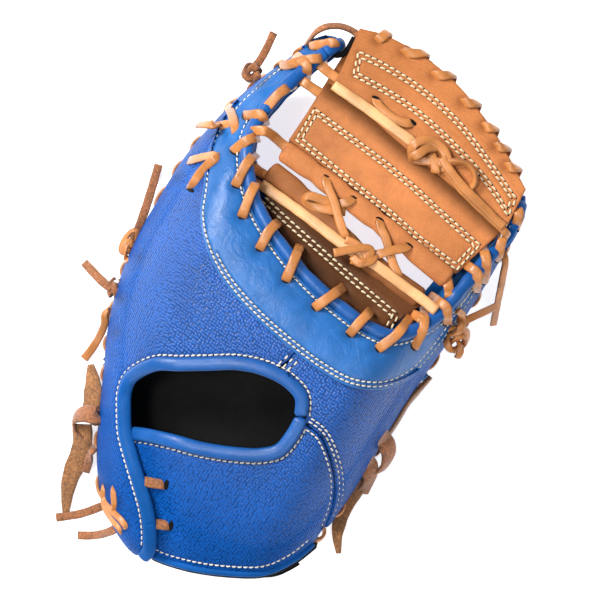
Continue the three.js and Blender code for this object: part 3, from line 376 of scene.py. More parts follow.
def palm_height(x, y):
    """The palm's face: an arch over the pocket, turned up beside the U to 20 under the back."""
    distance, _, _, palm = rim_at(x, y)
    reach = np.clip((distance - 12 - LEATHER) / 62, 0, 1)
    hollow = palm + (np.maximum(along(PALM, y), palm) - palm) * (1 - (1 - reach) ** 2)
    to_edge = nearest(EDGE_CHAIN, x, y)[0]
    turn = np.minimum(26, 0.75 * (to_edge + distance) + 1e-6)
    near = np.clip(1 - to_edge / turn, 0, 1)
    blend = near * near * (3 - 2 * near)
    return hollow + (np.maximum(back_height(x, y) - 20, palm) - hollow) * blend


def web_height(x, y):
    """The web: its middle line, less 4 ((x - 3%) / 34%)^2 in shares of the width."""
    return along(WEB, y) - 4 * ((x - WIDTH * 0.03) / (WIDTH * 0.34)) ** 2


def crotch_height(x, y):
    """Underside of the smooth panel: the back, its leather and a small gap."""
    return back_height(x, y) + LEATHER + LAP_GAP


def strap_height(x, y):
    """The back's height, 7 lower where the strap passes under the flap."""
    start, end = millimetres(OPENING)[[8, -1]]
    way = unit(end - start)
    front = way[0] * (y - start[1]) - way[1] * (x - start[0])
    near = np.clip(1 - front / 30, 0, 1)
    return back_height(x, y) - 7 * near * near * (3 - 2 * near)


def tucked_height(x, y):
    """The web's height, dipped where the middle panel goes under the top one."""
    edge = nearest(WEB_CHAINS["mid_top"], x, y)[0]
    return web_height(x, y) - 5 * np.maximum(0, 1 - edge / 10) ** 2


LEVELS = {
    "floor": lambda x, y: np.zeros_like(x),
    "back": back_height,
    "crotch": crotch_height,
    "strap": strap_height,
    "web": web_height,
    "tuck": tucked_height,
    "palm": palm_height,
}


def frame_shift():
    """Move from the mitt's middle to the row frame, read off the web's middle panel."""
    low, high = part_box("web_mid_panel")
    return np.array([low[0] * 1000 - MID_PANEL_LEFT, high[1] * 1000 - MID_PANEL_TOP, 0.0])


SHIFT = frame_shift()


def length_property(name, description, default, low, high):
    """A setting in metres, with its limits."""
    return bpy.props.FloatProperty(
        name=name, description=description, default=default, min=low, max=high,
        subtype="DISTANCE", unit="LENGTH")


class MittSizes(bpy.types.PropertyGroup):
    """Sizes of what is sewn, laced and pressed into the leather."""

    lace_width: length_property("Lace width", "Width of the rawhide laces", 0.0058, 0.003, 0.009)
    lace_thickness: length_property(
        "Lace thickness", "Thickness of the rawhide laces", 0.0018, 0.0008, 0.003)
    strap_width: length_property(
        "Strap width", "Width of the suede straps at the heel", 0.010, 0.006, 0.014)
    stitch_pitch: length_property(
        "Stitch pitch", "Length of one stitch with its gap", 0.0033, 0.002, 0.006)
    stitch_width: length_property(
        "Stitch width", "Thickness of the sewing thread", 0.00098, 0.0005, 0.002)
    seam_depth: length_property(
        "Seam depth", "How deep a stitched row pulls into the leather", 0.0007, 0.0, 0.002)
    pebble_size: length_property(
        "Pebble size", "Width of one pebble of the grain", 0.0018, 0.001, 0.005)


def colour_property(name, description, default):
    """A colour setting."""
    return bpy.props.FloatVectorProperty(
        name=name, description=description, default=default, min=0.0, max=1.0, size=3,
        subtype="COLOR")


class MittColours(bpy.types.PropertyGroup):
    """Colours of the leathers, thread and stage."""

    pebbled: colour_property("Pebbled leather", "Blue of the pebbled panels", (0.004, 0.083, 0.37))
    smooth: colour_property("Smooth leather", "Blue of the smooth panels", (0.012, 0.125, 0.40))
    binding: colour_property("Binding", "Blue of the bindings and rolls", (0.008, 0.090, 0.33))
    web: colour_property("Web leather", "Camel of the web", (0.60, 0.215, 0.072))
    lace: colour_property("Lace", "Golden tan of the laces", (0.54, 0.205, 0.056))
    rough_lace: colour_property("Rough lace", "Flesh side of the laces", (0.31, 0.110, 0.036))
    suede: colour_property("Suede", "Brown of the heel straps", (0.30, 0.130, 0.045))
    lining: colour_property("Lining", "Black of the lining", (0.006, 0.006, 0.006))
    thread: colour_property("Thread", "Off-white of the thread", (0.80, 0.75, 0.66))
    web_thread: colour_property("Web thread", "Cream of the web's thread", (0.84, 0.68, 0.44))
    floor: colour_property("Floor", "Pale floor", (0.93, 0.93, 0.93))
    # The ties' colour is the lace lightened: painted light on the ties' flat faces, which meet the
    # lamps.
    tie_painted_light: colour_property("Web tie", "Pale tan of the ties across the web", (0.76, 0.39, 0.16))


class Nodes:
    """A material's node tree, filled one node at a time."""

    def __init__(self, name):
        """A new material with its shader."""
        self.material = bpy.data.materials.new(name)
        self.material.use_nodes = True
        self.tree = self.material.node_tree
        self.shader = self.tree.nodes["Principled BSDF"]

    def add(self, kind, values=None, **settings):
        """One node, with its settings and the values of its sockets."""
        node = self.tree.nodes.new(kind)
        for key, value in settings.items():
            setattr(node, key, value)
        for key, value in (values or {}).items():
            node.inputs[key].default_value = value
        return node

    def link(self, start, end):
        """Joins two sockets."""
        self.tree.links.new(start, end)

    def feed(self, socket, value):
        """A number or colour set on the socket itself, anything else linked to it."""
        if isinstance(value, (int, float)):
            socket.default_value = value
        elif isinstance(value, tuple):
            socket.default_value = (*value, 1.0)
        else:
            self.link(value, socket)

    def put(self, name, value):
        """Feeds a socket of the material's own shader."""
        self.feed(self.shader.inputs[name], value)

    def place(self):
        """Object coordinates."""
        return self.add("ShaderNodeTexCoord").outputs["Object"]

    def strip_map(self):
        """The strip map: along and across, in metres."""
        return self.add("ShaderNodeUVMap", uv_map="UVMap").outputs["UV"]

    def times(self, base, factor):
        """A colour times a factor that varies from place to place."""
        return self.mixed(1.0, base, factor, "MULTIPLY")

    def drifting(self, value, low, high, dark, light):
        """A mix from a dark to a light colour where the value runs from low to high."""
        return self.mixed(self.span(value, low, high, 0.0, 1.0), dark, light)

    def noise(self, coordinates, scale, detail=3.0, roughness=0.55, distortion=0.0):
        """Fractal noise at the given coordinates."""
        node = self.add("ShaderNodeTexNoise", {
            "Scale": scale, "Detail": detail, "Roughness": roughness, "Distortion": distortion})
        self.link(coordinates, node.inputs["Vector"])
        return node.outputs["Fac"]

    def span(self, value, from_low, from_high, to_low, to_high):
        """A value carried from one span to another."""
        node = self.add("ShaderNodeMapRange", {
            "From Min": from_low, "From Max": from_high, "To Min": to_low, "To Max": to_high})
        self.link(value, node.inputs["Value"])
        return node.outputs["Result"]

    def maths(self, operation, first, second):
        """A sum, product or power of two values."""
        node = self.add("ShaderNodeMath", operation=operation)
        for socket, value in zip(node.inputs, (first, second)):
            self.feed(socket, value)
        return node.outputs[0]

    def mixed(self, factor, first, second, blend="MIX"):
        """Two colours mixed by a factor."""
        node = self.add("ShaderNodeMix", data_type="RGBA", blend_type=blend)
        for socket, value in zip((node.inputs[0], node.inputs[6], node.inputs[7]),
                                 (factor, first, second)):
            self.feed(socket, value)
        return node.outputs[2]

    def bump(self, height, distance, strength=1.0, under=None):
        """A normal tilted by a height, over another bump."""
        node = self.add("ShaderNodeBump", {"Strength": strength, "Distance": distance})
        self.link(height, node.inputs["Height"])
        if under is not None:
            self.link(under, node.inputs["Normal"])
        return node.outputs["Normal"]


def tone(colour, factor):
    """A colour times a factor, up to white."""
    return tuple(min(1.0, channel * factor) for channel in colour)


def shade_of(nodes):
    """The piece's painted shade: 1 on open leather, less in seams, folds, lace holes, under overlaps, at
    a lace's edges and across the web's panels.
    """
    return nodes.add("ShaderNodeAttribute", attribute_name="shade").outputs["Fac"]


def leather_finish(name, colour, grain, depth, roughness, pebbled=0.0, dark=0.22, wrinkle=0.0,
                   shine=0.5):
    """Leather: a mottled colour, darkened by the painted shade attribute, with painted shade in
    the grain's furrows and painted light on the pebbles' tops.
    The grain is Voronoi cells of the given size, each a dome 1 - r^2 by the share r of its
    radius, over fine noise. The top of the back is polished."""
    nodes = Nodes(name)
    place = nodes.place()
    flat = pebbled == 1
    laid = nodes.strip_map() if flat else place
    warp = nodes.add("ShaderNodeTexNoise", {"Scale": 0.06 / grain, "Detail": 0.0})
    nodes.link(place, warp.inputs["Vector"])
    bent = nodes.add("ShaderNodeVectorMath", {"Scale": grain * 2.0}, operation="SCALE")
    nodes.link(warp.outputs["Color"], bent.inputs[0])
    moved = nodes.add("ShaderNodeVectorMath", operation="ADD")
    nodes.link(laid, moved.inputs[0])
    nodes.link(bent.outputs[0], moved.inputs[1])
    cells = nodes.add("ShaderNodeTexVoronoi", {"Scale": 1.0 / grain, "Randomness": 0.5},
                      feature="F1", voronoi_dimensions="2D" if flat else "3D")
    nodes.link(moved.outputs[0], cells.inputs["Vector"])
    left = nodes.span(cells.outputs["Distance"], 0.0, 0.62, 0.0, 1.0)
    dome = nodes.maths("SUBTRACT", 1.0, nodes.maths("POWER", left, 2.0))
    fine = nodes.noise(place, 1.7 / grain, 4.0)
    broad = nodes.noise(place, 22.0, 3.0)
    middle = nodes.noise(place, 130.0, 4.0, 0.6)
    base = nodes.drifting(broad, 0.3, 0.7, tone(colour, 0.86), tone(colour, 1.14))
    speckle = nodes.span(middle, 0.3, 0.7, 0.9, 1.08)
    base = nodes.times(base, speckle)
    # Painted shade in the grain's furrows and painted light on the pebbles' tops, strongest on pebbled
    # leather.
    painted_furrow_shade = nodes.span(dome, 0.05, 1.0, 1.0 - 0.4 * pebbled, 1.0 + 0.16 * pebbled)
    base = nodes.times(base, painted_furrow_shade)
    # Painted shade: the shade attribute darkens the colour down to the dark share.
    painted_shade = nodes.span(shade_of(nodes), 0.0, 1.0, dark, 1.0)
    base = nodes.times(base, painted_shade)
    nodes.put("Base Color", base)
    dull = nodes.span(middle, 0.25, 0.75, roughness - 0.05, roughness + 0.07)
    nodes.put("Roughness", dull)
    height = nodes.add("ShaderNodeSeparateXYZ")
    nodes.link(place, height.inputs[0])
    polish = nodes.span(height.outputs["Z"], 0.065, 0.1, 0.02, shine)
    nodes.put("Specular IOR Level", polish)
    normal = nodes.bump(fine, grain * (0.02 if flat else 0.05), 0.6)
    normal = nodes.bump(dome, depth, 1.0, normal)
    if wrinkle:
        fold = nodes.noise(place, 70.0, 5.0, 0.62, 0.9)
        normal = nodes.bump(fold, wrinkle, 1.0, normal)
    nodes.put("Normal", normal)
    return nodes.material


def lace_finish(name, colour, roughness, fuzz):
    """Rawhide: the colour drifts along the lace, with fine fibres that run its way, painted shade
    from the shade attribute darker at the edges and sides, and a light sheen on the flesh side."""
    nodes = Nodes(name)
    place = nodes.place()
    strip = nodes.strip_map()
    fibre = nodes.add("ShaderNodeMapping", {"Scale": (60.0, 1400.0, 1.0)})
    nodes.link(strip, fibre.inputs["Vector"])
    lines = nodes.noise(fibre.outputs["Vector"], 1.0, 3.0, 0.6)
    drift = nodes.noise(place, 75.0, 3.0)
    grain = nodes.noise(place, 700.0 if fuzz else 1500.0, 4.0, 0.65)
    base = nodes.drifting(drift, 0.32, 0.68, tone(colour, 0.78), tone(colour, 1.2))
    base = nodes.times(base, nodes.span(lines, 0.3, 0.7, 0.86, 1.1))
    low, high = (0.5, 1.4) if fuzz else (0.88, 1.08)
    base = nodes.times(base, nodes.span(grain, 0.35, 0.65, low, high))
    # Painted shade from the shade attribute, down to 0.35.
    base = nodes.times(base, nodes.span(shade_of(nodes), 0.0, 1.0, 0.35, 1.0))
    nodes.put("Base Color", base)
    nodes.put("Roughness", nodes.span(drift, 0.3, 0.7, roughness - 0.06, roughness + 0.08))
    if fuzz:
        nodes.put("Sheen Weight", fuzz)
        nodes.put("Sheen Roughness", 0.5)
    normal = nodes.bump(lines, 0.00012, 0.8)
    normal = nodes.bump(grain, 0.0002 if fuzz else 0.00008, 0.8, normal)
    nodes.put("Normal", normal)
    return nodes.material


def thread_finish(name, colour):
    """Waxed thread: two plies twisted round each other, seen as slanted bands."""
    nodes = Nodes(name)
    place = nodes.place()
    twist = nodes.add("ShaderNodeTexWave", {"Scale": 260.0, "Distortion": 1.5, "Detail": 2.0},
                      bands_direction="DIAGONAL")
    nodes.link(place, twist.inputs["Vector"])
    soil = nodes.noise(place, 160.0, 3.0)
    base = nodes.drifting(soil, 0.35, 0.7, tone(colour, 0.82), colour)
    base = nodes.times(base, nodes.span(twist.outputs["Fac"], 0.0, 1.0, 0.86, 1.0))
    nodes.put("Base Color", base)
    nodes.put("Roughness", 0.55)
    nodes.put("Normal", nodes.bump(twist.outputs["Fac"], 0.0001, 0.7))
    return nodes.material


def lining_finish(name, colour, nap_light=0.12):
    """Soft lining: near black with a short nap that lightens at glancing light."""
    nodes = Nodes(name)
    place = nodes.place()
    nap = nodes.noise(place, 900.0, 4.0, 0.7)
    broad = nodes.noise(place, 40.0, 3.0)
    base = nodes.drifting(broad, 0.3, 0.7, tone(colour, 0.7), tone(colour, 1.5))
    nodes.put("Base Color", base)
    nodes.put("Roughness", nodes.span(nap, 0.3, 0.7, 0.75, 0.95))
    nodes.put("Sheen Weight", nap_light)
    nodes.put("Specular IOR Level", 0.2)
    nodes.put("Normal", nodes.bump(nap, 0.0002, 0.7))
    return nodes.material


def floor_finish(name, colour):
    """Matt paper, faintly uneven, glowing by FLOOR_GLOW: painted light that lifts the shadows cast on
    it.
    """
    nodes = Nodes(name)
    place = nodes.place()
    tooth = nodes.noise(place, 500.0, 3.0)
    broad = nodes.noise(place, 2.0, 2.0)
    base = nodes.drifting(broad, 0.3, 0.7, tone(colour, 0.99), tone(colour, 1.01))
    nodes.put("Base Color", base)
    nodes.put("Roughness", 0.9)
    nodes.put("Emission Color", (1.0, 1.0, 1.0))
    nodes.put("Emission Strength", FLOOR_GLOW)
    nodes.put("Specular IOR Level", 0.2)
    nodes.put("Normal", nodes.bump(tooth, 0.00005, 0.3))
    return nodes.material


FINISHES = {
    "pebbled_leather": lambda c, s: leather_finish(
        "pebbled leather", tuple(c.pebbled), s.pebble_size, 0.0004, 0.34, 1.0),
    "smooth_leather": lambda c, s: leather_finish(
        "smooth leather", tuple(c.smooth), 0.0011, 0.00004, 0.36, 0.15, 0.25, 0.0009),
    "binding": lambda c, s: leather_finish(
        "binding leather", tuple(c.binding), 0.0011, 0.00004, 0.36, 0.15, 0.25, 0.0004),
    "web_leather": lambda c, s: leather_finish(
        "web leather", tuple(c.web), 0.0010, 0.00005, 0.5, 0.3, 0.14, 0.0004, 0.22),
    "lace": lambda c, s: lace_finish("lace", tuple(c.lace), 0.33, 0.0),
    "tie_painted_light": lambda c, s: lace_finish("web tie", tuple(c.tie_painted_light), 0.36, 0.0),
    "web_thread": lambda c, s: thread_finish("web thread", tuple(c.web_thread)),
    # Near black: painted shade in the lace and stitch holes, and the black lining ends that show.
    "hole": lambda c, s: lining_finish("hole shade and lining", (0.0035, 0.003, 0.003), 0.0),
    "rough_lace": lambda c, s: lace_finish("rough lace", tuple(c.rough_lace), 0.75, 0.25),
    "suede": lambda c, s: lace_finish("suede", tuple(c.suede), 0.85, 0.35),
    "lining": lambda c, s: lining_finish("lining", tuple(c.lining)),
    "thread": lambda c, s: thread_finish("thread", tuple(c.thread)),
    "floor": lambda c, s: floor_finish("floor", tuple(c.floor)),
}
MADE = {}


def finish(name):
    """The named material, made on its first use."""
    if name not in MADE:
        scene = bpy.context.scene
        MADE[name] = FINISHES[name](scene.mitt_colours, scene.mitt_sizes)
    return MADE[name]


def build(name, points, quads, triangles, look, shade=None, uv=None):
    """A smooth mesh from points in the mitt's millimetres, with its shade and strip map."""
    points = (np.asarray(points, float) + SHIFT) / 1000
    quads = np.asarray(quads, np.int32).reshape(-1, 4)
    triangles = np.asarray(triangles, np.int32).reshape(-1, 3)
    corners = np.concatenate([quads.ravel(), triangles.ravel()])
    starts = np.concatenate([np.arange(len(quads)) * 4,
                             len(quads) * 4 + np.arange(len(triangles)) * 3])
    mesh = bpy.data.meshes.new(name)
    mesh.vertices.add(len(points))
    mesh.vertices.foreach_set("co", points.astype(np.float32).ravel())
    mesh.loops.add(len(corners))
    mesh.loops.foreach_set("vertex_index", corners)
    mesh.polygons.add(len(starts))
    mesh.polygons.foreach_set("loop_start", starts.astype(np.int32))
    mesh.update(calc_edges=True)
    if mesh.validate():
        raise RuntimeError(name + " has faulty faces")
    mesh.shade_smooth()
    values = np.ones(len(points)) if shade is None else shade
    mesh.attributes.new("shade", "FLOAT", "POINT").data.foreach_set(
        "value", np.asarray(values, np.float32))
    if uv is not None:
        layer = mesh.uv_layers.new(name="UVMap")
        layer.data.foreach_set("uv", np.asarray(uv, np.float32)[corners].ravel())
    mesh.materials.append(finish(look))
    piece = bpy.data.objects.new(name, mesh)
    bpy.context.scene.collection.objects.link(piece)
    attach(piece, "root")
    return piece


def stand_for(piece, look, *nodes):
    """Lets the piece stand for the named solids, which are hidden."""
    if nodes:
        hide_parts(*nodes)
    return piece


def grid_normals(grid):
    """Cross product of a grid's two ways, turned so that it points up on the whole."""
    normal = unit(np.cross(np.gradient(grid, axis=0), np.gradient(grid, axis=1)))
    return normal * (1 if normal[..., 2].sum() > 0 else -1)


def edge_distance(grid):
    """Distance along the grid's rows and columns from each place to the nearest edge."""
    down = np.concatenate([np.zeros((1, grid.shape[1])),
                           np.cumsum(np.linalg.norm(np.diff(grid, axis=0), axis=2), axis=0)])
    right = np.concatenate([np.zeros((grid.shape[0], 1)),
                            np.cumsum(np.linalg.norm(np.diff(grid, axis=1), axis=2), axis=1)], axis=1)
    return np.minimum(np.minimum(down, down[-1] - down), np.minimum(right, right[:, -1:] - right))


def unrolled(x, y, z):
    """The back laid flat, in metres: at each place the lengths along the surface from the
    middle, the sums of (1 + slope^2)^(1/2) across and along, read off a 2 mm grid. The steep
    side below WALL_TOP is folded outward by its drop, away from the middle line."""
    if "unrolled" not in MADE:
        places = np.meshgrid(np.arange(-130.0, 131.0, 2.0), np.arange(-200.0, 201.0, 2.0), indexing="ij")
        height = back_height(*places)
        flat = []
        for axis in (0, 1):
            slope = np.clip(np.gradient(height, 2.0, axis=axis), -1.2, 1.2)
            sums = 2.0 * np.cumsum(np.sqrt(1 + slope**2), axis=axis)
            flat.append(sums - np.take(sums, [sums.shape[axis] // 2], axis=axis))
        MADE["unrolled"] = np.dstack(flat) / 1000
    grid = MADE["unrolled"]
    i, j = np.clip((x + 130) / 2, 0, 129.99), np.clip((y + 200) / 2, 0, 199.99)
    a, b = i.astype(int), j.astype(int)
    s, t = (i - a)[:, None], (j - b)[:, None]
    low = grid[a, b] * (1 - s) + grid[a + 1, b] * s
    high = grid[a, b + 1] * (1 - s) + grid[a + 1, b + 1] * s
    away = unit(np.stack([x, y - np.clip(y, -90, 60)], axis=1))
    drop = np.maximum(0, WALL_TOP - z)[:, None] / 1000
    return low * (1 - t) + high * t + away * drop


def leather(name, top, thickness, look, nodes, shade=None):
    """A closed sheet whose outer face is the grid: with h half its thickness and d the distance
    to the edge, both faces stand h (1 - (1 - min(d/h, 1))^2)^(1/2) off the middle."""
    rows, columns = top.shape[:2]
    normal = grid_normals(top)
    half = np.broadcast_to(np.asarray(thickness, float) / 2, (rows, columns))
    rounding = np.sqrt(1 - (1 - np.minimum(edge_distance(top) / half, 1)) ** 2)
    middle = top - normal * half[..., None]
    stand = normal * (half * rounding)[..., None]
    upper = np.arange(rows * columns).reshape(rows, columns)
    inside = np.zeros((rows, columns), bool)
    inside[1:-1, 1:-1] = True
    lower = upper.copy()
    lower[inside] = rows * columns + np.arange(inside.sum())
    points = np.concatenate([(middle + stand).reshape(-1, 3), (middle - stand)[inside]])
    # Painted shade, carried to both faces as the shade attribute.
    painted_shade_values = np.ones((rows, columns)) if shade is None else shade
    painted_shade_points = np.concatenate([painted_shade_values.ravel(), painted_shade_values[inside]])

    def faces(index):
        """Quads of a grid of indices."""
        return np.stack([index[:-1, :-1], index[1:, :-1], index[1:, 1:], index[:-1, 1:]],
                        axis=-1).reshape(-1, 4)

    upper_faces, lower_faces = faces(upper), faces(lower)[:, ::-1]
    first = np.cross(top[1, 0] - top[0, 0], top[0, 1] - top[0, 0])
    if first @ normal[0, 0] < 0:
        upper_faces, lower_faces = upper_faces[:, ::-1], lower_faces[:, ::-1]
    uv = unrolled(*points.T) if look == "pebbled_leather" else None
    piece = build(name, points, np.concatenate([upper_faces, lower_faces]), [], look, painted_shade_points, uv)
    return stand_for(piece, look, *nodes)


def steps(count, end=0.012):
    """Even shares of 0 to 1 with three crowded ones at each end, for a rounded edge."""
    near = np.array([0.0, 0.13, 0.5]) * end
    return np.concatenate([near, np.linspace(end, 1 - end, count), 1 - near[::-1]])


def between(curves, places):
    """Points across plan curves of equal counts: at place p, the curves int(p) and int(p) + 1
    are mixed by the rest of p."""
    curves = np.stack([curve[:, :2] for curve in curves])
    i = np.minimum(places.astype(int), len(curves) - 2)
    t = (places - i)[:, None, None]
    return np.swapaxes(curves[i] * (1 - t) + curves[i + 1] * t, 0, 1)


def grooves(x, y, rows, depth, reach=1.3):
    """Dip of stitched rows: depth exp(-(d / reach)^2) for the nearest row."""
    dip = np.zeros_like(x)
    for row in rows:
        dip = np.maximum(dip, depth * np.exp(-((nearest(row, x, y)[0] / reach) ** 2)))
    return dip


def dimples(x, y, places, depth, reach):
    """Dip round holes: the greatest of depth exp(-(r / reach)^2)."""
    places = np.asarray(places, float).reshape(-1, 2)
    away = (x[..., None] - places[:, 0]) ** 2 + (y[..., None] - places[:, 1]) ** 2
    return depth * np.exp(-away.min(axis=-1) / reach**2)


def ring_faces(rings, sides):
    """Quads round a stack of rings, with the rings' indices and those one place on."""
    index = np.arange(rings * sides).reshape(rings, sides)
    after = np.roll(index, -1, axis=1)
    quads = np.stack([index[:-1], after[:-1], after[1:], index[1:]], axis=-1).reshape(-1, 4)
    return quads, index, after


def closed_rings(ring, ends):
    """Points, quads and triangles of a stack of rings, each end a fan round its middle."""
    rings, sides = ring.shape[:2]
    quads, index, after = ring_faces(rings, sides)
    start = np.full(sides, rings * sides)
    caps = np.concatenate([np.stack([start, after[0], index[0]], axis=1),
                           np.stack([start + 1, index[-1], after[-1]], axis=1)])
    return np.concatenate([ring.reshape(-1, 3), ends]), quads, caps


def tube(name, points, width, height, look, nodes=(), sides=18, pinches=None,
         flat=1.0, end=1.0, shade=None):
    """An oval carried along a path: across w/2 cos a, up h/2 sin a, both to the power flat with
    their signs kept, drawn in to closed round ends over its last stretch, and pinched to
    1 - 0.13 exp(-(s/4)^2) under each lace."""
    points = np.asarray(points, float)
    run = lengths(points)
    way = unit(np.gradient(points, axis=0))
    side = unit(np.cross(way, (0.0, 0.0, 1.0)))
    rise = np.cross(side, way)
    reach = min(width, height) / 2 * end
    inset = np.minimum(np.minimum(run, run[-1] - run) / max(reach, 1e-6), 1)
    scale = np.sqrt(np.maximum(1 - (1 - inset) ** 2, 0.0004))
    if pinches is not None and len(pinches):
        close = np.abs(run[:, None] - np.asarray(pinches)[None, :]).min(axis=1)
        scale = scale * (1 - 0.13 * np.exp(-((close / 4) ** 2)))
    angle = 2 * math.pi * np.arange(sides) / sides
    across = width / 2 * np.sign(np.cos(angle)) * np.abs(np.cos(angle)) ** flat
    lift = height / 2 * np.sign(np.sin(angle)) * np.abs(np.sin(angle)) ** flat
    ring = (points[:, None] + side[:, None] * (across[None, :, None] * scale[:, None, None])
            + rise[:, None] * (lift[None, :, None] * scale[:, None, None]))
    # Painted shade along the tube, carried to its rings and ends.
    painted_shade_values = np.ones(len(points)) if shade is None else shade
    painted_shade_points = np.concatenate([np.repeat(painted_shade_values, sides), painted_shade_values[[0, -1]]])
    piece = build(name, *closed_rings(ring, points[[0, -1]]), look, painted_shade_points)
    return stand_for(piece, look, *nodes)


def on_level(points, level, rise=0.0):
    """Plan points set on a surface, with a rise."""
    x, y = points[:, 0], points[:, 1]
    return np.stack([x, y, LEVELS[level](x, y) + rise], axis=1)


def joined(*parts):
    """Chains end to end, without their doubled joints."""
    return np.vstack([parts[0]] + [part[1:] for part in parts[1:]])


def row_of(places):
    """A row of stitches as a spline through its corners."""
    return spline(np.array(places, float), 10)


def stitched_rows():
    """Every sewn row as (level, plan chain), most of them shifted copies of the seams."""
    web = []
    middle = [(-53, 97.5), (-30, 96), (0, 94), (20, 91.5), (40, 88), (70, 83.5), (66.5, 64),
              (40, 66), (15, 69.5), (-15, 72.5), (-52.5, 76.5), (-53, 97.5)]
    inner = [(-50.3, 95), (-30, 93.5), (0, 91.4), (20, 89), (40, 85.6), (67, 81.2), (64.2, 66.8),
             (40, 68.5), (15, 72), (-15, 75), (-50, 79), (-50.3, 95)]
    for ring in (middle, inner):
        corners = np.array(ring, float)
        web.append(("tuck", joined(sampled(corners[:6], 30), sampled(corners[5:7], 8),
                                   sampled(corners[6:11], 30), sampled(corners[10:], 8))))
    for upper, lower in (
            ([(-50, 139.5), (-35, 141.5), (-10, 142), (20, 137.5), (45, 129), (73, 117.5)],
             [(-45, 126), (-20, 127.5), (0, 126.8), (30, 121.5), (55, 114.5), (74.5, 106.5)]),
            ([(-47, 137), (-35, 138.8), (-10, 139.4), (20, 135), (45, 126.6), (70.8, 116)],
             [(-43.6, 128.5), (-20, 130), (0, 129.3), (30, 124), (55, 117), (72, 109.4)])):
        high, low = row_of(upper), row_of(lower)
        web += [("web", high), ("web", low), ("web", sampled(np.array([high[0], low[0]]), 10)),
                ("web", sampled(np.array([high[-1], low[-1]]), 8))]
    base = row_of([(-50, 39), (-35, 36.4), (-20, 34), (0, 31), (20, 28), (35, 26), (51, 24)])
    web += [("web", base), ("web", shifted(base, -3))]
    for x in (49.5, 52.5):
        web.append(("web", np.array([(x, 23.5), (x + 0.6, 14.0)])))
    double = share_near(SEAM_CHAIN, (-29.5, -1.5))
    crotch = [("crotch", shifted(sampled(SEAM_CHAIN, 200, start, 0.97), away))
              for start, away in ((0.03, 2.2), (double, 4.7))]
    crotch.append(("crotch", shifted(sampled(EDGE_CHAIN, 200, 0.2, 0.86), -5.6)))
    back = [("back", shifted(sampled(OPENING_CHAIN, 200, 0.0, 0.97), -5.0)),
            ("back", shifted(sampled(STRAP_SEAM_CHAIN, 60, 0, 0.9), 2.4)),
            ("back", shifted(sampled(STRAP_SEAM_CHAIN, 60, 0, 0.9), 4.6))]
    for x in (-3.2, 0.0, 3.2):
        back.append(("back", np.array([(12.6 + x, -38.8), (15.2 + x, -29.6)])))
    strap = [("strap", shifted(sampled(STRAP_TOP_CHAIN, 100, 0.02, 1), 5.0)),
             ("strap", shifted(sampled(STRAP_SEAM_CHAIN, 60, 0.02, 1), -2.4)),
             ("strap", shifted(sampled(STRAP_LOW_CHAIN, 100), 3.6))]
    return {"web": web, "crotch": crotch, "back": back, "strap": strap}


ROWS = stitched_rows()
BACK_HOLES = [(-96, 34), (-98, 22), (-97, 62), (-92, -30), (-88, -56), (-80, -74), (88, -20),
              (84, -45), (-26, -158), (-15, -167), (-36, -155)]


def matched(curve, places):
    """Points of a chain at shares of its count of steps."""
    return read_off(curve, np.asarray(places) * (len(curve) - 1))


def panel_grid(outer, inner, rows, columns, crowd=1.0):
    """Plan grid between two matched curves: row shares by count, column shares to a power."""
    down = steps(rows, 0.004)
    across = steps(columns, 0.016) ** crowd
    return between([matched(outer, down), matched(inner, down)], across)


def set_panel(plan, level, rise, level_rows, seam_depth, holes, hole_depth=0.9):
    """The plan grid on its level, less grooves and dimples, and the painted shade that goes with them.
    """
    x, y = plan[..., 0], plan[..., 1]
    groove = grooves(x, y, level_rows, 1.0)
    dent = dimples(x, y, holes, 1.0, 4.0) if len(holes) else np.zeros_like(x)
    z = LEVELS[level](x, y) + rise - seam_depth * groove - hole_depth * dent
    # Painted shade in the stitched grooves and round the lace holes.
    shade = 1 - 0.22 * groove - 0.45 * dent
    return np.dstack([x, y, z]), shade


def lap_of(share):
    """How far the smooth panel laps over: all of LAP round the crotch, 0.3 of it at the ends."""
    low = smooth(share, 0.12, 0.35) * (1 - smooth(share, 0.72, 0.9))
    return LAP * (0.3 + 0.7 * low)


def rows_on(kind, level=None):
    """Chains of the rows sewn on a leather, perhaps on one of its levels only."""
    return [row for name, row in ROWS[kind] if level in (None, name)]


def panel(name, plan, level, look, holes, sizes, hole_depth=0.9):
    """A closed leather panel on its level, drawn in by its rows and holes."""
    top, shade = set_panel(plan, level, 0, rows_on(level), sizes.seam_depth * 1000, holes, hole_depth)
    leather(name + "_leather", top, LEATHER, look, [name], shade)


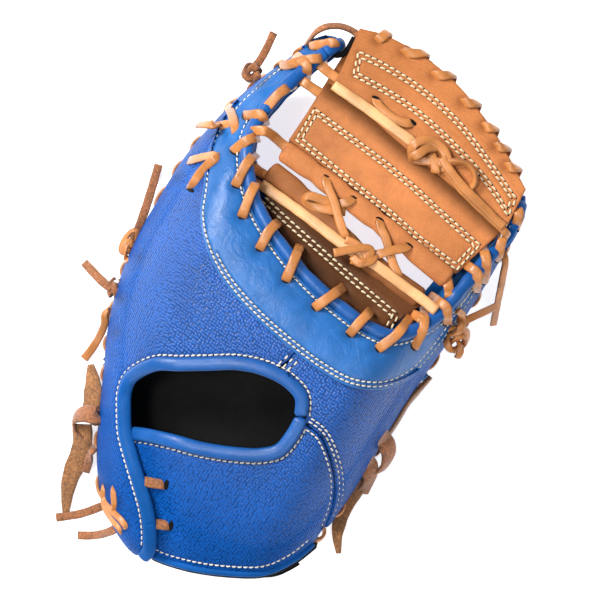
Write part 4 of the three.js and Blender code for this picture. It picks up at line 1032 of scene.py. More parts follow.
def back_panels(sizes):
    """Pebbled panels between the rim and the seam, the finger side's round the wrist hole."""
    seam = stretches(SEAM_CHAIN, [0, SHORT_TOP, 1], SEAM_STEPS)
    lap = shifted(seam, lap_of(np.linspace(0, 1, len(seam))))
    low = share_near(RIM_CHAIN, (-53.2, -7.4))
    heel = share_near(RIM_CHAIN, (-45.3, -22.9))
    tip = share_near(RIM_CHAIN, (1.2, -53.1))
    outer = stretches(RIM_CHAIN, [0.004, low, heel, tip], [170, 60, 90])
    hole = shifted(stretches(OPENING_CHAIN, [SHORT_LOW + 0.004, FLAP_START, 0.985], [50, 90]), CUT_EDGE)
    short = SEAM_STEPS[0]
    inner = joined(lap[:short + 1], sampled(np.array([lap[short], hole[0]]), 10), hole)
    plan = panel_grid(outer, inner, 280, 80, 1.55)
    panel("finger_back", plan, "back", "pebbled_leather", BACK_HOLES, sizes)
    start = share_near(RIM_CHAIN, (45.8, -30.2))
    bend = share_near(RIM_CHAIN, (46.3, -18.5))
    low = share_near(RIM_CHAIN, (45.5, -10.0))
    outer = stretches(RIM_CHAIN, [start, bend, low, 0.996], [60, 40, 120])
    strap = shifted(sampled(STRAP_SEAM_CHAIN, 60, 1, 0), -0.8)
    hole = shifted(sampled(OPENING_CHAIN, 30, 0, SHORT_LOW - 0.004), CUT_EDGE)
    inner = joined(strap, hole, sampled(np.array([hole[-1], lap[short]]), 10), lap[short:])
    plan = panel_grid(outer, inner, 250, 56, 1.4)
    panel("thumb_back", plan, "back", "pebbled_leather", BACK_HOLES, sizes)


def crotch_panel(sizes):
    """The smooth U from the seam to the web's edge."""
    seam = stretches(SEAM_CHAIN, [0, SHORT_TOP, 1], SEAM_STEPS)
    inner = shifted(sampled(EDGE_CHAIN, 290, *ROLL_PART), -ROLL_WIDTH / 2 + 0.6)
    plan = panel_grid(seam, inner, 340, 50)
    panel("crotch_panel", plan, "crotch", "smooth_leather",
          [wrap[:2] for wrap in sum(WRAPS.values(), [])], sizes, 1.6)


def wrist_strap(sizes):
    """The pebbled strap under the wrist hole, with the lining inside it."""
    top_edge = joined(shifted(sampled(STRAP_TOP_CHAIN, 90, 1, 0), CUT_EDGE),
                      shifted(sampled(STRAP_SEAM_CHAIN, 60), -0.8))
    low_edge = stretches(STRAP_LOW_CHAIN, [0, 0.62, 1], [90, 60])
    plan = panel_grid(low_edge, top_edge, 170, 76)
    panel("wrist_strap", plan, "strap", "pebbled_leather", [], sizes)
    inner_top = joined(shifted(sampled(STRAP_TOP_CHAIN, 90, 1, 0), -5.5),
                       shifted(sampled(STRAP_SEAM_CHAIN, 60), -2.8))
    plan = panel_grid(shifted(low_edge, -2.5), inner_top, 120, 60)
    lining, _ = set_panel(plan, "strap", -LEATHER - LAP_GAP, [], 0, [])
    leather("strap_lining_cloth", lining, 1.2, "lining", ["strap_lining"])


def palm_grid(rows, columns):
    """The palm's underside: a lip 4 high inside the wall, a flat flange 12 wide, then the arch."""
    outer = shifted(sampled(RIM_CHAIN, 400), LEATHER + 2.7)
    inner = shifted(sampled(EDGE_CHAIN, 400), ROLL_WIDTH * palm_reach(np.linspace(0, 1, 401)) - 1)
    down = steps(rows, 0.004)
    outer, inner = matched(outer, down), matched(inner, down)
    reach = np.linalg.norm(inner - outer, axis=1)
    scale = np.minimum(1, reach / 36)
    run = reach[:, None] * (steps(columns, 0.01)[None, :] ** 1.25)
    plan = outer[:, None] + (inner - outer)[:, None] * (run / reach[:, None])[..., None]
    x, y = plan[..., 0], plan[..., 1]
    foot = rim_at(outer[:, 0], outer[:, 1])[3][:, None]
    lip = foot + 4 * np.clip(1 - run / (1.5 * scale[:, None]), 0, 1) ** 1.5
    arch = palm_height(x, y)
    flat = np.broadcast_to(smooth(run, 11 * scale[:, None], 15 * scale[:, None]), x.shape)
    z = lip * (1 - flat) + arch * flat
    pad = 10 + (7 - 10) * smooth(y, -148, -67)
    room = np.minimum(1, reach[:, None] / 48) ** 2
    edge = np.clip((run / reach[:, None] - 0.2) / 0.8, 0, 1) ** 2
    thick = np.maximum(LEATHER, (pad + (4 - pad) * edge) * room)
    thick = LEATHER + (thick - LEATHER) * smooth(run, 9 * scale[:, None], 16 * scale[:, None])
    return np.dstack([x, y, z]), thick


def palm():
    """The palm's face looks down, so the sheet is made from its inner side."""
    grid, thick = palm_grid(PALM_ROWS, PALM_COLUMNS)
    normal = grid_normals(grid)
    seam = grooves(grid[..., 0], grid[..., 1], [shifted(PALM_EDGE, 5.5)], 0.6)
    inner = grid + normal * (thick - seam)[..., None]
    piece = leather("palm_pad", inner, thick - seam, "smooth_leather", ["palm"])
    rows = slice(int(PALM_ROWS * 12 / 40) + 4, int(PALM_ROWS * 25 / 40))
    top = (grid + normal * (thick + LAP_GAP + 1.2)[..., None])[rows, 16:-3]
    leather("palm_lining_cloth", top[::2, ::2], 1.2, "lining", ["palm_lining"])


def web_panel(name, high, low, level, rise, rows, columns, stitched, holes, nodes, depth):
    """A closed tan panel between two of the web's chains, with painted light and shade in its shade
    attribute.
    """
    plan = panel_grid(sampled(WEB_CHAINS[high], 200), sampled(WEB_CHAINS[low], 200), rows, columns)
    top, shade = set_panel(plan, level, rise, stitched, depth, holes, 1.0)
    rim = np.clip(edge_distance(top) / 2.0, 0, 1)
    x, y = top[..., 0], top[..., 1]
    # Painted shade at the panel's edges, and painted light growing from the finger side to the thumb
    # side.
    shade = shade * (0.72 + 0.28 * rim) * (0.74 + 0.26 * smooth(x, -52, 30))
    # Painted shadow below the top panel's edge, where the middle panel tucks under it.
    if level == "tuck":
        shade = shade * (0.2 + 0.8 * smooth(nearest(WEB_CHAINS["top_low"], x, y)[0], 1, 11))
    # Painted shade over the whole base panel, a little lighter towards its thumb end.
    if low == "base_low":
        shade = shade * (0.12 * smooth(x, 5, 55))
    return leather(name, top, WEB_LEATHER, "web_leather", nodes, shade)


def web(sizes):
    """Tan panels of the web, from the top to the front's tuck."""
    depth = sizes.seam_depth * 1000
    web_panel("web_front_leather", "top", "front_low", "web", -8, 150, 40, [], [],
              ["web_front_panel"], 0)
    web_panel("web_base_leather", "base_top", "base_low", "web", 0, 200, 44, rows_on("web", "web"),
              [(17, 20), (37.5, 17), (-17, 26)], ["web_base_panel"], depth)
    web_panel("web_middle_leather", "mid_top", "mid_low", "tuck", 0, 240, 64, rows_on("web", "tuck"), [],
              ["web_mid_panel"], depth)
    tops = [(x, y) for x, y, _ in TOP_WRAPS] + [(-25, 121), (-3, 119)]
    web_panel("web_top_leather", "top", "top_low", "web", 0, 220, 60, rows_on("web", "web"), tops,
              ["web_top_panel"], depth)
    # Painted shade on the rolled bars: the bar nearly full, the base roll darkened and darker still
    # towards its thumb end.
    for name, chain, light, fall in (("web_bar", "bar", 0.95, 0.0),
                                     ("web_base_roll", "base_roll", 0.46, 0.25)):
        line = sampled(WEB_CHAINS[chain], 150)
        tube(name + "_leather", on_level(line, "web"), *WEB_ROLL, "web_leather", [name], 26,
             pinches=[24, 46, 70, 92], flat=0.82, end=0.8,
             shade=light - fall * smooth(np.linspace(0, 1, len(line)), 0.0, 0.6) * 0.5)


def pinch_places(chain, reach=9.0):
    """Run along a chain where wraps cross it."""
    run = lengths(chain)
    middles = np.array(sum(WRAPS.values(), []), float)[:, 2:4]
    distance, share = nearest(chain, middles[:, 0], middles[:, 1])
    return np.interp(share, np.arange(len(run)), run)[distance < reach]


def rolls():
    """Rolled edges of the U and bindings of the hole, the strap and the heel."""
    line = sampled(EDGE_CHAIN, 420, *ROLL_PART)
    path = on_level(line, "crotch", -0.6)
    for end, after in ((0, 4), (-1, -5)):
        ahead = unit(path[end] - path[after])
        k = np.arange(1, 7)
        curl = np.column_stack([k * 1.15, 0.26 * k * k])
        tail = path[end] + ahead * curl[:, :1] - np.array([0, 0, 1]) * curl[:, 1:]
        path = np.vstack([tail[::-1], path]) if end == 0 else np.vstack([path, tail])
    tube("back_roll_leather", path, ROLL_WIDTH + 0.8, ROLL_HEIGHT + 0.6, "binding", ["back_edge_roll"],
         20, pinches=pinch_places(line))
    path = on_level(PALM_EDGE, "palm", 2)
    tube("palm_roll_leather", path, ROLL_WIDTH + 0.4, ROLL_HEIGHT + 0.4, "binding", ["palm_edge_roll"],
         20, pinches=pinch_places(PALM_EDGE, 16))
    line = sampled(OPENING_CHAIN, 330)
    tube("opening_binding_leather", on_level(line, "back", 0.3), *BINDING, "binding",
         ["opening_binding"], 20, flat=0.85)
    line = sampled(STRAP_TOP_CHAIN, 140)
    meet = OPENING_CHAIN[0, :2]
    last = -1 if np.linalg.norm(line[-1, :2] - meet) < np.linalg.norm(line[0, :2] - meet) else 0
    bridge = line[last, :2] + (meet - line[last, :2]) * np.array([[0.35], [0.7], [1.05]])
    line = np.vstack([line[:, :2], bridge]) if last else np.vstack([bridge[::-1], line[:, :2]])
    tube("strap_binding_leather", on_level(line, "strap", 0.3), *BINDING, "binding",
         ["strap_binding"], 20, flat=0.85)
    line = sampled(STRAP_LOW_CHAIN, 140)
    tube("heel_piping_leather", on_level(line, "strap", -0.6), 4.5, 4.4, "binding",
         ["heel_binding"], 16)


def course(own, rows):
    """A lace's course on its own level: rows of x, y, perhaps another level, rise and perhaps
    the way its top faces. Places run on a spline; heights are the levels', mixed in step, plus
    the rise."""
    rows = [row if isinstance(row[2], str) else (*row[:2], own, *row[2:]) for row in rows]
    plan = spline(np.array([(row[0], row[1], row[3]) for row in rows], float), 14)
    share = np.linspace(0, len(rows) - 1, len(plan))
    x, y = plan[:, 0], plan[:, 1]
    z = plan[:, 2].copy()
    for level in {row[2] for row in rows}:
        weight = np.interp(share, np.arange(len(rows)), [row[2] == level for row in rows])
        z += weight * LEVELS[level](x, y)
    facing = np.array([row[4:7] if len(row) > 4 else (0.0, 0.0, 1.0) for row in rows], float)
    return np.stack([x, y, z], axis=1), read_off(facing, share)


def strip(points, up, width, thickness, taper=0.0, spacing=1.3):
    """A flat strip with eased edges along a path, cupped by 0.045 w a^2 at share a across and
    kept square to the path, with its points, faces, painted shade and strip map. Its painted
    shade is 1 - 0.62 |a|^14, dark at the edges and sides, and a tapered end narrows to 0.35."""
    points, up = np.asarray(points, float), np.asarray(up, float)
    run = lengths(points)
    count = max(int(run[-1] / spacing), 6)
    share = np.linspace(0, run[-1], count + 1)
    points, up = read_off(points, share, run), read_off(up, share, run)
    for _ in range(2):
        points[1:-1] = (points[:-2] + 2 * points[1:-1] + points[2:]) / 4
    way = unit(np.gradient(points, axis=0))
    side = unit(np.cross(way, up))
    flips = np.cumprod(np.concatenate([[1], np.where((side[1:] * side[:-1]).sum(axis=1) < 0, -1, 1)]))
    side = side * flips[:, None]
    for _ in range(3):
        side[1:-1] = (side[:-2] + 2 * side[1:-1] + side[2:]) / 4
    side = unit(side - way * (side * way).sum(axis=1)[:, None])
    rise = np.cross(side, way)
    across = np.array([1, 0.985, 0.9, 0.5, -0.5, -0.9, -0.985, -1, -0.985, -0.9, -0.5, 0.5, 0.9, 0.985])
    lift = np.array([0, 0.62, 0.94, 1, 1, 0.94, 0.62, 0, -0.62, -0.94, -1, -1, -0.94, -0.62])
    narrow = np.ones(count + 1)
    if taper:
        narrow = np.minimum(1, 0.35 + 0.65 * (run[-1] - share) / taper)
    wander = 1 + 0.05 * np.sin(share / 5.3 + points[0, 0]) * np.sin(share / 2.9 + points[0, 1])
    half = width / 2 * across * (narrow * wander)[:, None]
    height = thickness / 2 * lift - 0.045 * width * across**2
    ring = points[:, None] + side[:, None] * half[..., None] + rise[:, None] * height[:, None]
    # Painted shade: darker at the lace's edges and sides, and 0.7 on its end caps.
    shade = np.tile(1 - 0.62 * np.abs(across) ** 14, count + 1)
    uv = np.stack([np.repeat(share, len(across)) / 1000,
                   np.tile(across * width / 2000, count + 1)], axis=1)
    return (*closed_rings(ring, points[[0, -1]]), np.concatenate([shade, [0.7, 0.7]]),
            np.concatenate([uv, uv[[0, -1]]]))


def laces(name, courses, look, nodes, sizes, width=None, thickness=None):
    """One piece from several courses of lace, each (points, up, taper); a tail is a free cord."""
    width = width or sizes.lace_width * 1000
    thickness = thickness or sizes.lace_thickness * 1000
    parts, offset = [[], [], [], [], []], 0
    for points, up, *rest in courses:
        made = strip(points, up, width, thickness, taper=rest[0] if rest else 0.0)
        for store, part, moves in zip(parts, made, (0, 1, 1, 0, 0)):
            store.append(part + offset if moves else part)
        offset += len(made[0])
    points, quads, caps, shade, uv = (np.concatenate(part) for part in parts)
    piece = build(name, points, quads, caps, look, shade, uv)
    return stand_for(piece, look, *nodes)


def knot(centre, along_way, across_way, size, start=0.02, end=0.98):
    """A tied knot: the lace on a flattened torus, at angle 2t (R + r cos 3t) round the middle and
    r sin 3t up, over and under itself, scaled to size and turned to the given ways."""
    t = np.linspace(start, end, 90) * 2 * math.pi
    turn, wave = 2 * t, 3 * t
    radius = 1.7 + np.cos(wave)
    local = np.stack([radius * np.cos(turn) / 2.7, radius * np.sin(turn) / 2.7, np.sin(wave)], axis=1)
    facing = np.stack([np.cos(wave) * np.cos(turn), np.cos(wave) * np.sin(turn), np.sin(wave)], axis=1)
    first = unit(np.asarray(along_way, float))
    second = np.asarray(across_way, float)
    second = unit(second - first * (first @ second))
    basis = np.stack([first, second, np.cross(first, second)])
    return np.asarray(centre, float) + (local * np.asarray(size, float) / 2) @ basis, facing @ basis


def raised(x, y, level, rise):
    """One place on a level, moved up by a rise."""
    return (x, y, float(LEVELS[level](np.array([x], float), np.array([y], float))[0]) + rise)


def wrap_course(wrap, to_palm):
    """Out of its hole, over the rolled edge and down inside the U, as a spline through nine
    places with the ways that its top faces. The palm's roll ends the dive where it is reached."""
    hole, middle, dive = np.array(wrap[:2], float), np.array(wrap[2:4], float), np.array(wrap[4:], float)
    line = sampled(EDGE_CHAIN, 400)
    on_edge = line[int(round(float(nearest(line, middle[:1], middle[1:])[1][0])))]
    middle = on_edge + (middle - on_edge) * 0.25
    over = max(raised(*on_edge, "crotch", 5.0)[2], raised(*middle, "crotch", 5.0)[2])
    start = raised(*hole, "crotch", 0.0)[2]
    if to_palm:
        place, share = nearest(PALM_EDGE, dive[:1], dive[1:])
        on_roll = PALM_EDGE[int(round(float(share[0])))]
        dive = on_roll + (dive - on_roll) * 0.3
        down = raised(*on_roll, "palm", 2 + 3.3 + 0.9)[2] - 0.1 * float(place[0])
    else:
        down = raised(*dive, "web", 1.0)[2]
    out, into = unit(hole - middle), unit(dive - middle)
    near = middle + out * min(5.4, np.linalg.norm(hole - middle) * 0.7)
    past = middle + into * min(5.0, np.linalg.norm(dive - middle) * 0.6)
    places = [(*(hole + out * 0.2), start - 6), (*hole, start - 0.6),
              (*(hole * 0.55 + near * 0.45), max(start, raised(*near, "crotch", 0)[2]) + 1.1),
              (*near, max(raised(*near, "crotch", 3.1)[2], over - 3.2)), (*middle, over),
              (*past, over - 1.5 if over - down > 4 else (over + down) / 2),
              (*(past * 0.35 + dive * 0.65), down + 0.4 * (over - 2.3 - down)),
              (*dive, down - 0.5), (*(dive + into * 0.5), down - 6.5)]
    facing = [(*out, 0.1), (*out, 0.5), (*(out * 0.3), 1), (*(out * 0.4), 1), (0, 0, 1),
              (*(into * 0.5), 1), (*(into * 0.9), 0.8), (*into, 0.4), (*into, 0.05)]
    points = spline(np.array(places), 8)
    share = np.linspace(0, len(places) - 1, len(points))
    return points, read_off(facing, share)


def edge_laces(sizes):
    """The laces that wrap the rolled edge, and those round the web's upper edge."""
    for name, wraps in WRAPS.items():
        courses = [wrap_course(wrap, i < PALM_DIVES[name]) for i, wrap in enumerate(wraps)]
        laces(name + "_wraps", courses, "lace", [name], sizes)
    courses = []
    edge = WEB_CHAINS["top"]
    for x, y, x_over in TOP_WRAPS:
        y_edge = float(np.interp(x_over, edge[:, 0], edge[:, 1]))
        courses.append(course("web", [(x, y, -5, -0.3, -1, 0.2),
            (x + 0.2, y + 0.4, -0.3, -0.1, -1, 0.6),
            (x * 0.6 + x_over * 0.4, y * 0.55 + y_edge * 0.45, 1.5),
            (x * 0.2 + x_over * 0.8, y_edge + 0.3, 1.2, 0, 0.7, 1),
            (x_over, y_edge + 2.0, -2.6, 0, 1, 0), (x_over + 1, y_edge + 0.8, -8.5, 0, 0.8, -0.6),
            (x_over + 1.5, y_edge - 4, -12.4, 0, 0, -1)]))
    laces("web_edge_wraps", courses, "lace", ["web_edge_lace"], sizes)


def web_ties(sizes):
    """The two long ties across the web with their knots, and the crossed laces between its rolls."""
    # The two ties take the lightened lace colour, painted light.
    laces("web_top_tie_lace", [
        course("web", [(-51.4, 114.9, 1.2), (-49.5, 114.8, 1.5), (-46, 114.6, 1.8), (-25, 113.9, 1.8),
            (-8, 112.6, 1.8), (3, 112, 2.2), (9, 111, 1.6), (15, 110.5, -0.5)]),
    ], "tie_painted_light", ["web_top_tie"], sizes, width=6.2)
    laces("web_top_knot", [
        course("web", [(9, 105, 2.2), (6.2, 109, 4.6, -0.4, 0, 1), (7.5, 114, 5.6), (13, 118.2, 4.4),
            (20, 118.6, 3.8), (25.5, 116, 3.6), (29, 112.8, 4.4)]),
        course("web", [(20, 118.4, 2.4), (14.2, 114, 4.2), (11.6, 108, 5.6),
            (9.2, 103.4, 3.4, 0, -0.7, 1), (12.5, 104.6, 1.2), (20, 108.5, 2.2), (26, 111.5, 3.4)]),
        course("web", [(17.5, 112, 1.8), (22.5, 108.5, 2.8), (26, 103.8, 2.2, 0, -0.5, 1),
            (25.5, 106.5, 0.6), (29, 111, 3)]),
        course("web", [(24, 113.5, 3.8), (31, 110.2, 4.6), (42, 106.5, 3.8), (55, 103.6, 2.6),
            (66, 101.4, 2.2), (76, 99.6, 2.4)]),
    ], "lace", [], sizes, width=5.4)
    laces("web_top_tie_return", [
        course("web", [(27, 110.6, 1.8), (40, 105.2, 1.4), (52, 102.4, 1.2), (66, 99.8, 1.2),
            (79, 97.4, 1.0), (81, 96.6, -3, 1, 0, 0.3)]),
        course("web", [(27, 111.5, 3.4), (31.5, 115.6, 4.2, 0, -0.9, 0.7),
            (38, 118.2, 4.6, 0, -1, 0.6), (44.5, 116, 4.4, -0.6, -0.8, 0.5),
            (48, 110.6, 2.6, -1, -0.2, 0.5), (46.5, 107, 0.8, -0.6, 0, 1)]),
    ], "lace", [], sizes, width=4.6)
    laces("web_top_loop_lace", [
        course("web", [(-26.5, 121.6, -4, 0, 1, 0.2), (-26.2, 120.6, 0.6, 0, 0.6, 1),
            (-22, 118.9, 1.1), (-13, 117.6, 1.1), (-6, 118.4, 1.1), (-2.2, 120.4, 0.8),
            (-1.6, 121.6, -4, 0, 1, 0.2)]),
    ], "lace", ["web_top_loop"], sizes, width=5.2)
    laces("web_base_tie_lace", [
        course("web", [(-55.4, 44.0, 2.6), (-53.5, 43.9, 2.6), (-50, 43.6, 2.6), (-30, 42.9, 2.4),
            (-12, 41.6, 2.4), (2, 40.4, 3.6), (12, 39.8, 4.8), (20, 40.6, 5)]),
        course("web", [(17, 40.5, 5), (26, 40.6, 5.2), (45, 39.4, 5.2), (60, 38.6, 6.4),
            (69.4, 37.6, 8.4)]),
    ], "tie_painted_light", ["web_base_tie"], sizes, width=6.3)
    laces("web_base_knot", [
        course("web", [(1.5, 33.2, 7.4), (5.5, 37.2, 8.2), (10, 41.5, 8.8), (15, 45.6, 8.4),
            (18.6, 46.6, 7.4), (20.6, 42.6, 6.8, 0.5, 0, 1), (20.4, 38.6, 6.8, 0.5, -0.2, 1),
            (16.4, 36.2, 7.0), (11.6, 37.6, 6.0)]),
        course("web", [(3, 43.4, 5.4), (9, 44.6, 5.6), (16.5, 43.5, 6.4), (22, 39.5, 6.2)]),
        course("web", [(12, 35.6, 5.2), (17.5, 37.4, 6.6), (22.4, 41.6, 7.2), (21.6, 45.6, 5.8)]),
    ], "lace", [], sizes, width=5.0)
    over = WEB_ROLL_TOP + 1.1
    laces("web_cross_left", [
        course("web", [(-25.5, 68.4, 0.5, 0, 1, 0.3), (-25.3, 67.2, over - 1.2, 0, 0.8, 0.7),
            (-23.6, 64.6, over), (-15, 58.8, over + 1.6), (-8, 52.6, over + 1.2),
            (-2, 47.6, over + 0.4), (2.6, 44.6, over - 1.2), (3.4, 42.6, -1, 0, -1, 0.2)]),
        course("web", [(-5.4, 66.8, 0.5, 0, 1, 0.3), (-5.8, 65.6, over - 1.2, 0, 0.8, 0.7),
            (-7.4, 62.6, over), (-13.5, 57.6, over - 1.4), (-21, 55.4, over),
            (-28, 53.6, over + 0.6, -0.5, 0, 1), (-30.4, 50.6, over - 0.4, -1, -0.3, 0.6),
            (-27, 48.4, over - 1.6, -0.3, -0.7, 1), (-19.5, 50.4, over - 0.8), (-12, 53.8, over - 0.6),
            (-6, 57, over - 3.5)]),
    ], "lace", ["x_lace_left"], sizes, width=5.4)
    laces("web_cross_right", [
        course("web", [(13.6, 64.6, 0.5, 0, 1, 0.3), (13.9, 63.4, over - 1.2, 0, 0.8, 0.7),
            (16.4, 60.4, over), (22.5, 56.6, over), (29, 50.6, over - 0.8), (36, 45, over - 0.4),
            (40.5, 42.2, over - 1.4), (43, 40, -1)]),
        course("web", [(35.8, 61.3, 0.5, 0, 1, 0.3), (35.7, 60.0, over - 1.2, 0, 0.8, 0.7),
            (34, 57.6, over + 0.2), (29, 53, over + 1.6), (24.4, 47.6, over + 1),
            (21.4, 44.6, over - 0.6), (19, 42.6, 2)]),
    ], "lace", ["x_lace_right"], sizes, width=5.4)


def links(sizes):
    """Laces that tie the web's ends to the finger and thumb sides under the rolled edge."""
    laces("link_upper", [
        course("web", [(-48, 119.4, -6), (-51, 119.4, -3.2), (-56, 119.6, -2.6), (-64, 120.4, 0),
            (-70, 121, "crotch", -8), (-76, 121.5, "crotch", -13)]),
        course("web", [(-50, 106.6, -5), (-55, 106.8, -3), (-62, 107, -1.6), (-70, 107, "crotch", -7),
            (-77, 107, "crotch", -12)]),
    ], "lace", ["link_lace_upper"], sizes)
    laces("link_lower", [
        course("crotch", [(-50, 70, "web", 2), (-57, 70, "web", 1.4), (-64, 71, "web", 5),
            (-70, 70.6, -0.4), (-75, 67.6, 1.4, 0.3, 0, 1), (-77, 65, -3)]),
        course("crotch", [(-54, 49.4, "web", -2), (-59, 49.6, "web", -1), (-64, 49.4, -7),
            (-69, 49.4, -11)]),
    ], "lace", ["link_lace_lower"], sizes)
    laces("link_thumb", [
        course("crotch", [(64, 57, "web", 0), (68.5, 52.5, "web", 1.6), (71, 49, -4), (73, 45, -10)]),
        course("crotch", [(58, 28, "web", -4), (61, 29, "web", 1.4), (65, 28.6, -1), (68, 26, -6)]),
    ], "lace", ["link_lace_thumb"], sizes)
    laces("web_corner_lace", [
        course("web", [(-55, 147.5, -2), (-59, 148, -1, 0, 0.8, 1), (-66, 146.6, 2, -0.3, 0.8, 1),
            (-72.5, 142.6, 2, -0.6, 0.6, 1), (-76.8, 136.6, "crotch", 1, -0.9, 0.3, 0.8),
            (-78, 131, "crotch", -1, -1, 0, 0.6), (-78.5, 126, "crotch", -4, -1, 0, 0.4)]),
    ], "rough_lace", [], sizes, width=4.4)


def lining_tabs(sizes):
    """Ends of the black lining that show at the fingertip and under the strap's thumb end."""
    laces("lining_tab_finger", [
        course("web", [(-56.5, 145, -5), (-56, 140, -3.4), (-56.6, 134.5, -3.4), (-59.5, 130.6, -4),
            (-64, 130, -5)]),
    ], "hole", [], sizes, width=3.6)
    laces("lining_tab_thumb", [
        course("floor", [(70.5, -146.5, 9), (74, -143.6, 9.5), (78.5, -137.5, 10.5), (82, -130, 12)]),
    ], "hole", [], sizes, width=6.5)


def side_laces(sizes):
    """Knots, loops and tails of the side lacing: on the finger side, then on the thumb side."""
    out = (-1, 0, 0.25)
    laces("finger_side_lace", [
        course("crotch", [(-83, 60.5, -3), (-85, 62.4, 0.6, 0.3, 0, 1), (-89, 66.4, 3.2),
            (-95, 71, 4.6, -0.4, 0.3, 1), (-98, 72.4, 1, -1, 0.2, 0.4)]),
        course("crotch", [(-89.5, 63.5, 1.4), (-93, 60.8, 4, -0.3, 0, 1),
            (-99, 57, "floor", 74, -0.3, 0.3, 1), (-105.2, 53.4, "floor", 60, -0.3, 0.4, 1)]),
    ], "lace", ["side_lace"], sizes, width=5.4)
    laces("finger_side_loop", [
        course("back", [(-98.5, 33, 0.4, -0.8, 0, 1), (-96.6, 34.6, 3.4, -0.4, 0, 1),
            (-91, 40, 4, 0, 0.3, 1), (-86.5, 43, "crotch", 2.2), (-84.6, 41.4, "crotch", -2)]),
        course("back", [(-84, 44.6, "crotch", -2), (-85, 42.4, "crotch", 2.6),
            (-87.4, 36, "crotch", 3.2), (-88.4, 28, 3.4), (-88.3, 21.6, 2.2), (-88.2, 19, -4)]),
    ], "lace", ["side_loop"], sizes, width=5.2)
    top = raised(-95.6, 95.8, "back", 16)
    points, facing = knot((-95.6, 95.6, min(top[2], 62)), (0.35, 1, 0.1), (-1, 0.35, 0.3), (11, 10, 7))
    laces("finger_upper_knot", [
        (points, facing),
        course("floor", [(-96, 99, 62, 0.2, 0, 1), (-95.4, 103, 62, 0.2, 0, 1),
            (-96, 112, 60, 0.1, 0, 1), (-97.6, 122.2, 57, 0.1, 0, 1)]),
    ], "rough_lace", ["finger_knot_upper"], sizes, width=4.8)
    ring = np.linspace(0.1, 2 * math.pi - 0.1, 40)
    loop = np.stack([-103.2 + 3.1 * np.cos(ring), -26 + 8.2 * np.sin(ring), 20 + 3 * np.sin(ring * 1)],
                    axis=1)
    facing = np.stack([np.cos(ring) * 0.6, np.sin(ring) * 0.6, np.full(40, 0.8)], axis=1)
    inner = np.stack([-102.4 + 2.2 * np.cos(ring), -29 + 4.6 * np.sin(ring), 23 + 0 * ring], axis=1)
    laces("finger_middle_knot", [
        (loop, facing), (inner, facing),
        course("floor", [(-97, -36, "back", -2, *out), (-100.6, -34, 22, *out), (-103.5, -30, 24),
            (-102.4, -24, 23)]),
    ], "lace", ["finger_knot_middle"], sizes, width=3.4)
    laces("finger_middle_tail", [
        course("floor", [(-101.8, -24, 22, 0.9, 0, 0.6), (-103, -16, 21, 0.5, 0, 0.9),
            (-106, -4, 16, 0.1, 0, 1), (-110, 9, 8, 0, 0, 1), (-114, 21.5, 3, 0, 0, 1)]),
    ], "rough_lace", [], sizes, width=5.2)
    laces("finger_lower_tail", [
        course("floor", [(-96.5, -55, 24, 0, 0.2, 1), (-103, -54.4, 22, 0, 0.1, 1),
            (-111, -52.8, 17, 0, 0, 1), (-119, -51, 10, 0, 0, 1)]),
    ], "rough_lace", [], sizes, width=5.2)
    points, facing = knot((-95.2, -53.6, 22), (-0.35, 1, 0), (0.5, 0.2, 1), (12.5, 9, 5.6))
    laces("finger_lower_knot", [(points, facing)], "rough_lace", ["finger_knot_lower"], sizes, width=4.0)
    laces("finger_low_tail", [
        course("floor", [(-91.5, -66, 24, *out), (-92, -70, 22, -0.5, 0, 1),
            (-89.6, -73, 20, 0, -0.2, 1), (-88, -80, 14, 0, -0.3, 1), (-87.6, -90, 5, 0, 0, 1),
            (-88.4, -99, 1.8, 0, 0, 1)]),
    ], "lace", ["finger_tail_low"], sizes, width=4.8)
    high = raised(84.5, 36, "crotch", 8)[2]
    first, first_up = knot((82.8, 37.6, high), (0.5, 1, 0), (1, -0.5, 0.1), (17, 13, 8))
    second, second_up = knot((89.8, 27.6, high - 7), (0.3, -1, -0.15), (1, 0.3, -0.3), (18, 13, 8),
                             0.04, 0.9)
    laces("thumb_side_knot", [
        (first, first_up), (second, second_up),
        course("floor", [(80, 44.5, "crotch", 3), (85, 42.4, high + 2.5), (88, 38, high),
            (92.5, 37, high - 6, 0.7, 0.4, 0.7), (95, 31, high - 13, 1, 0, 0.4),
            (93, 24, high - 20, 1, -0.4, 0.3)]),
        course("floor", [(86, 40, high + 1, 0, 0.3, 1), (88.6, 44.5, high + 1, 0, 0, 1),
            (93.5, 52, high - 6, 0, 0, 1), (98.6, 60, high - 16, 0, 0, 1)]),
    ], "lace", ["thumb_knot"], sizes, width=4.4)
    laces("thumb_side_tail", [
        course("floor", [(84.5, 87.6, 58, 0.5, 0.3, 0.8), (87.5, 85, 58, 0.4, 0.3, 0.9),
            (92, 76, 49, 0.2, 0.2, 1), (98, 63, 30, 0, 0.3, 1), (104, 50, 8, 0, 0.3, 1)]),
    ], "lace", ["thumb_tail"], sizes, width=4.2)


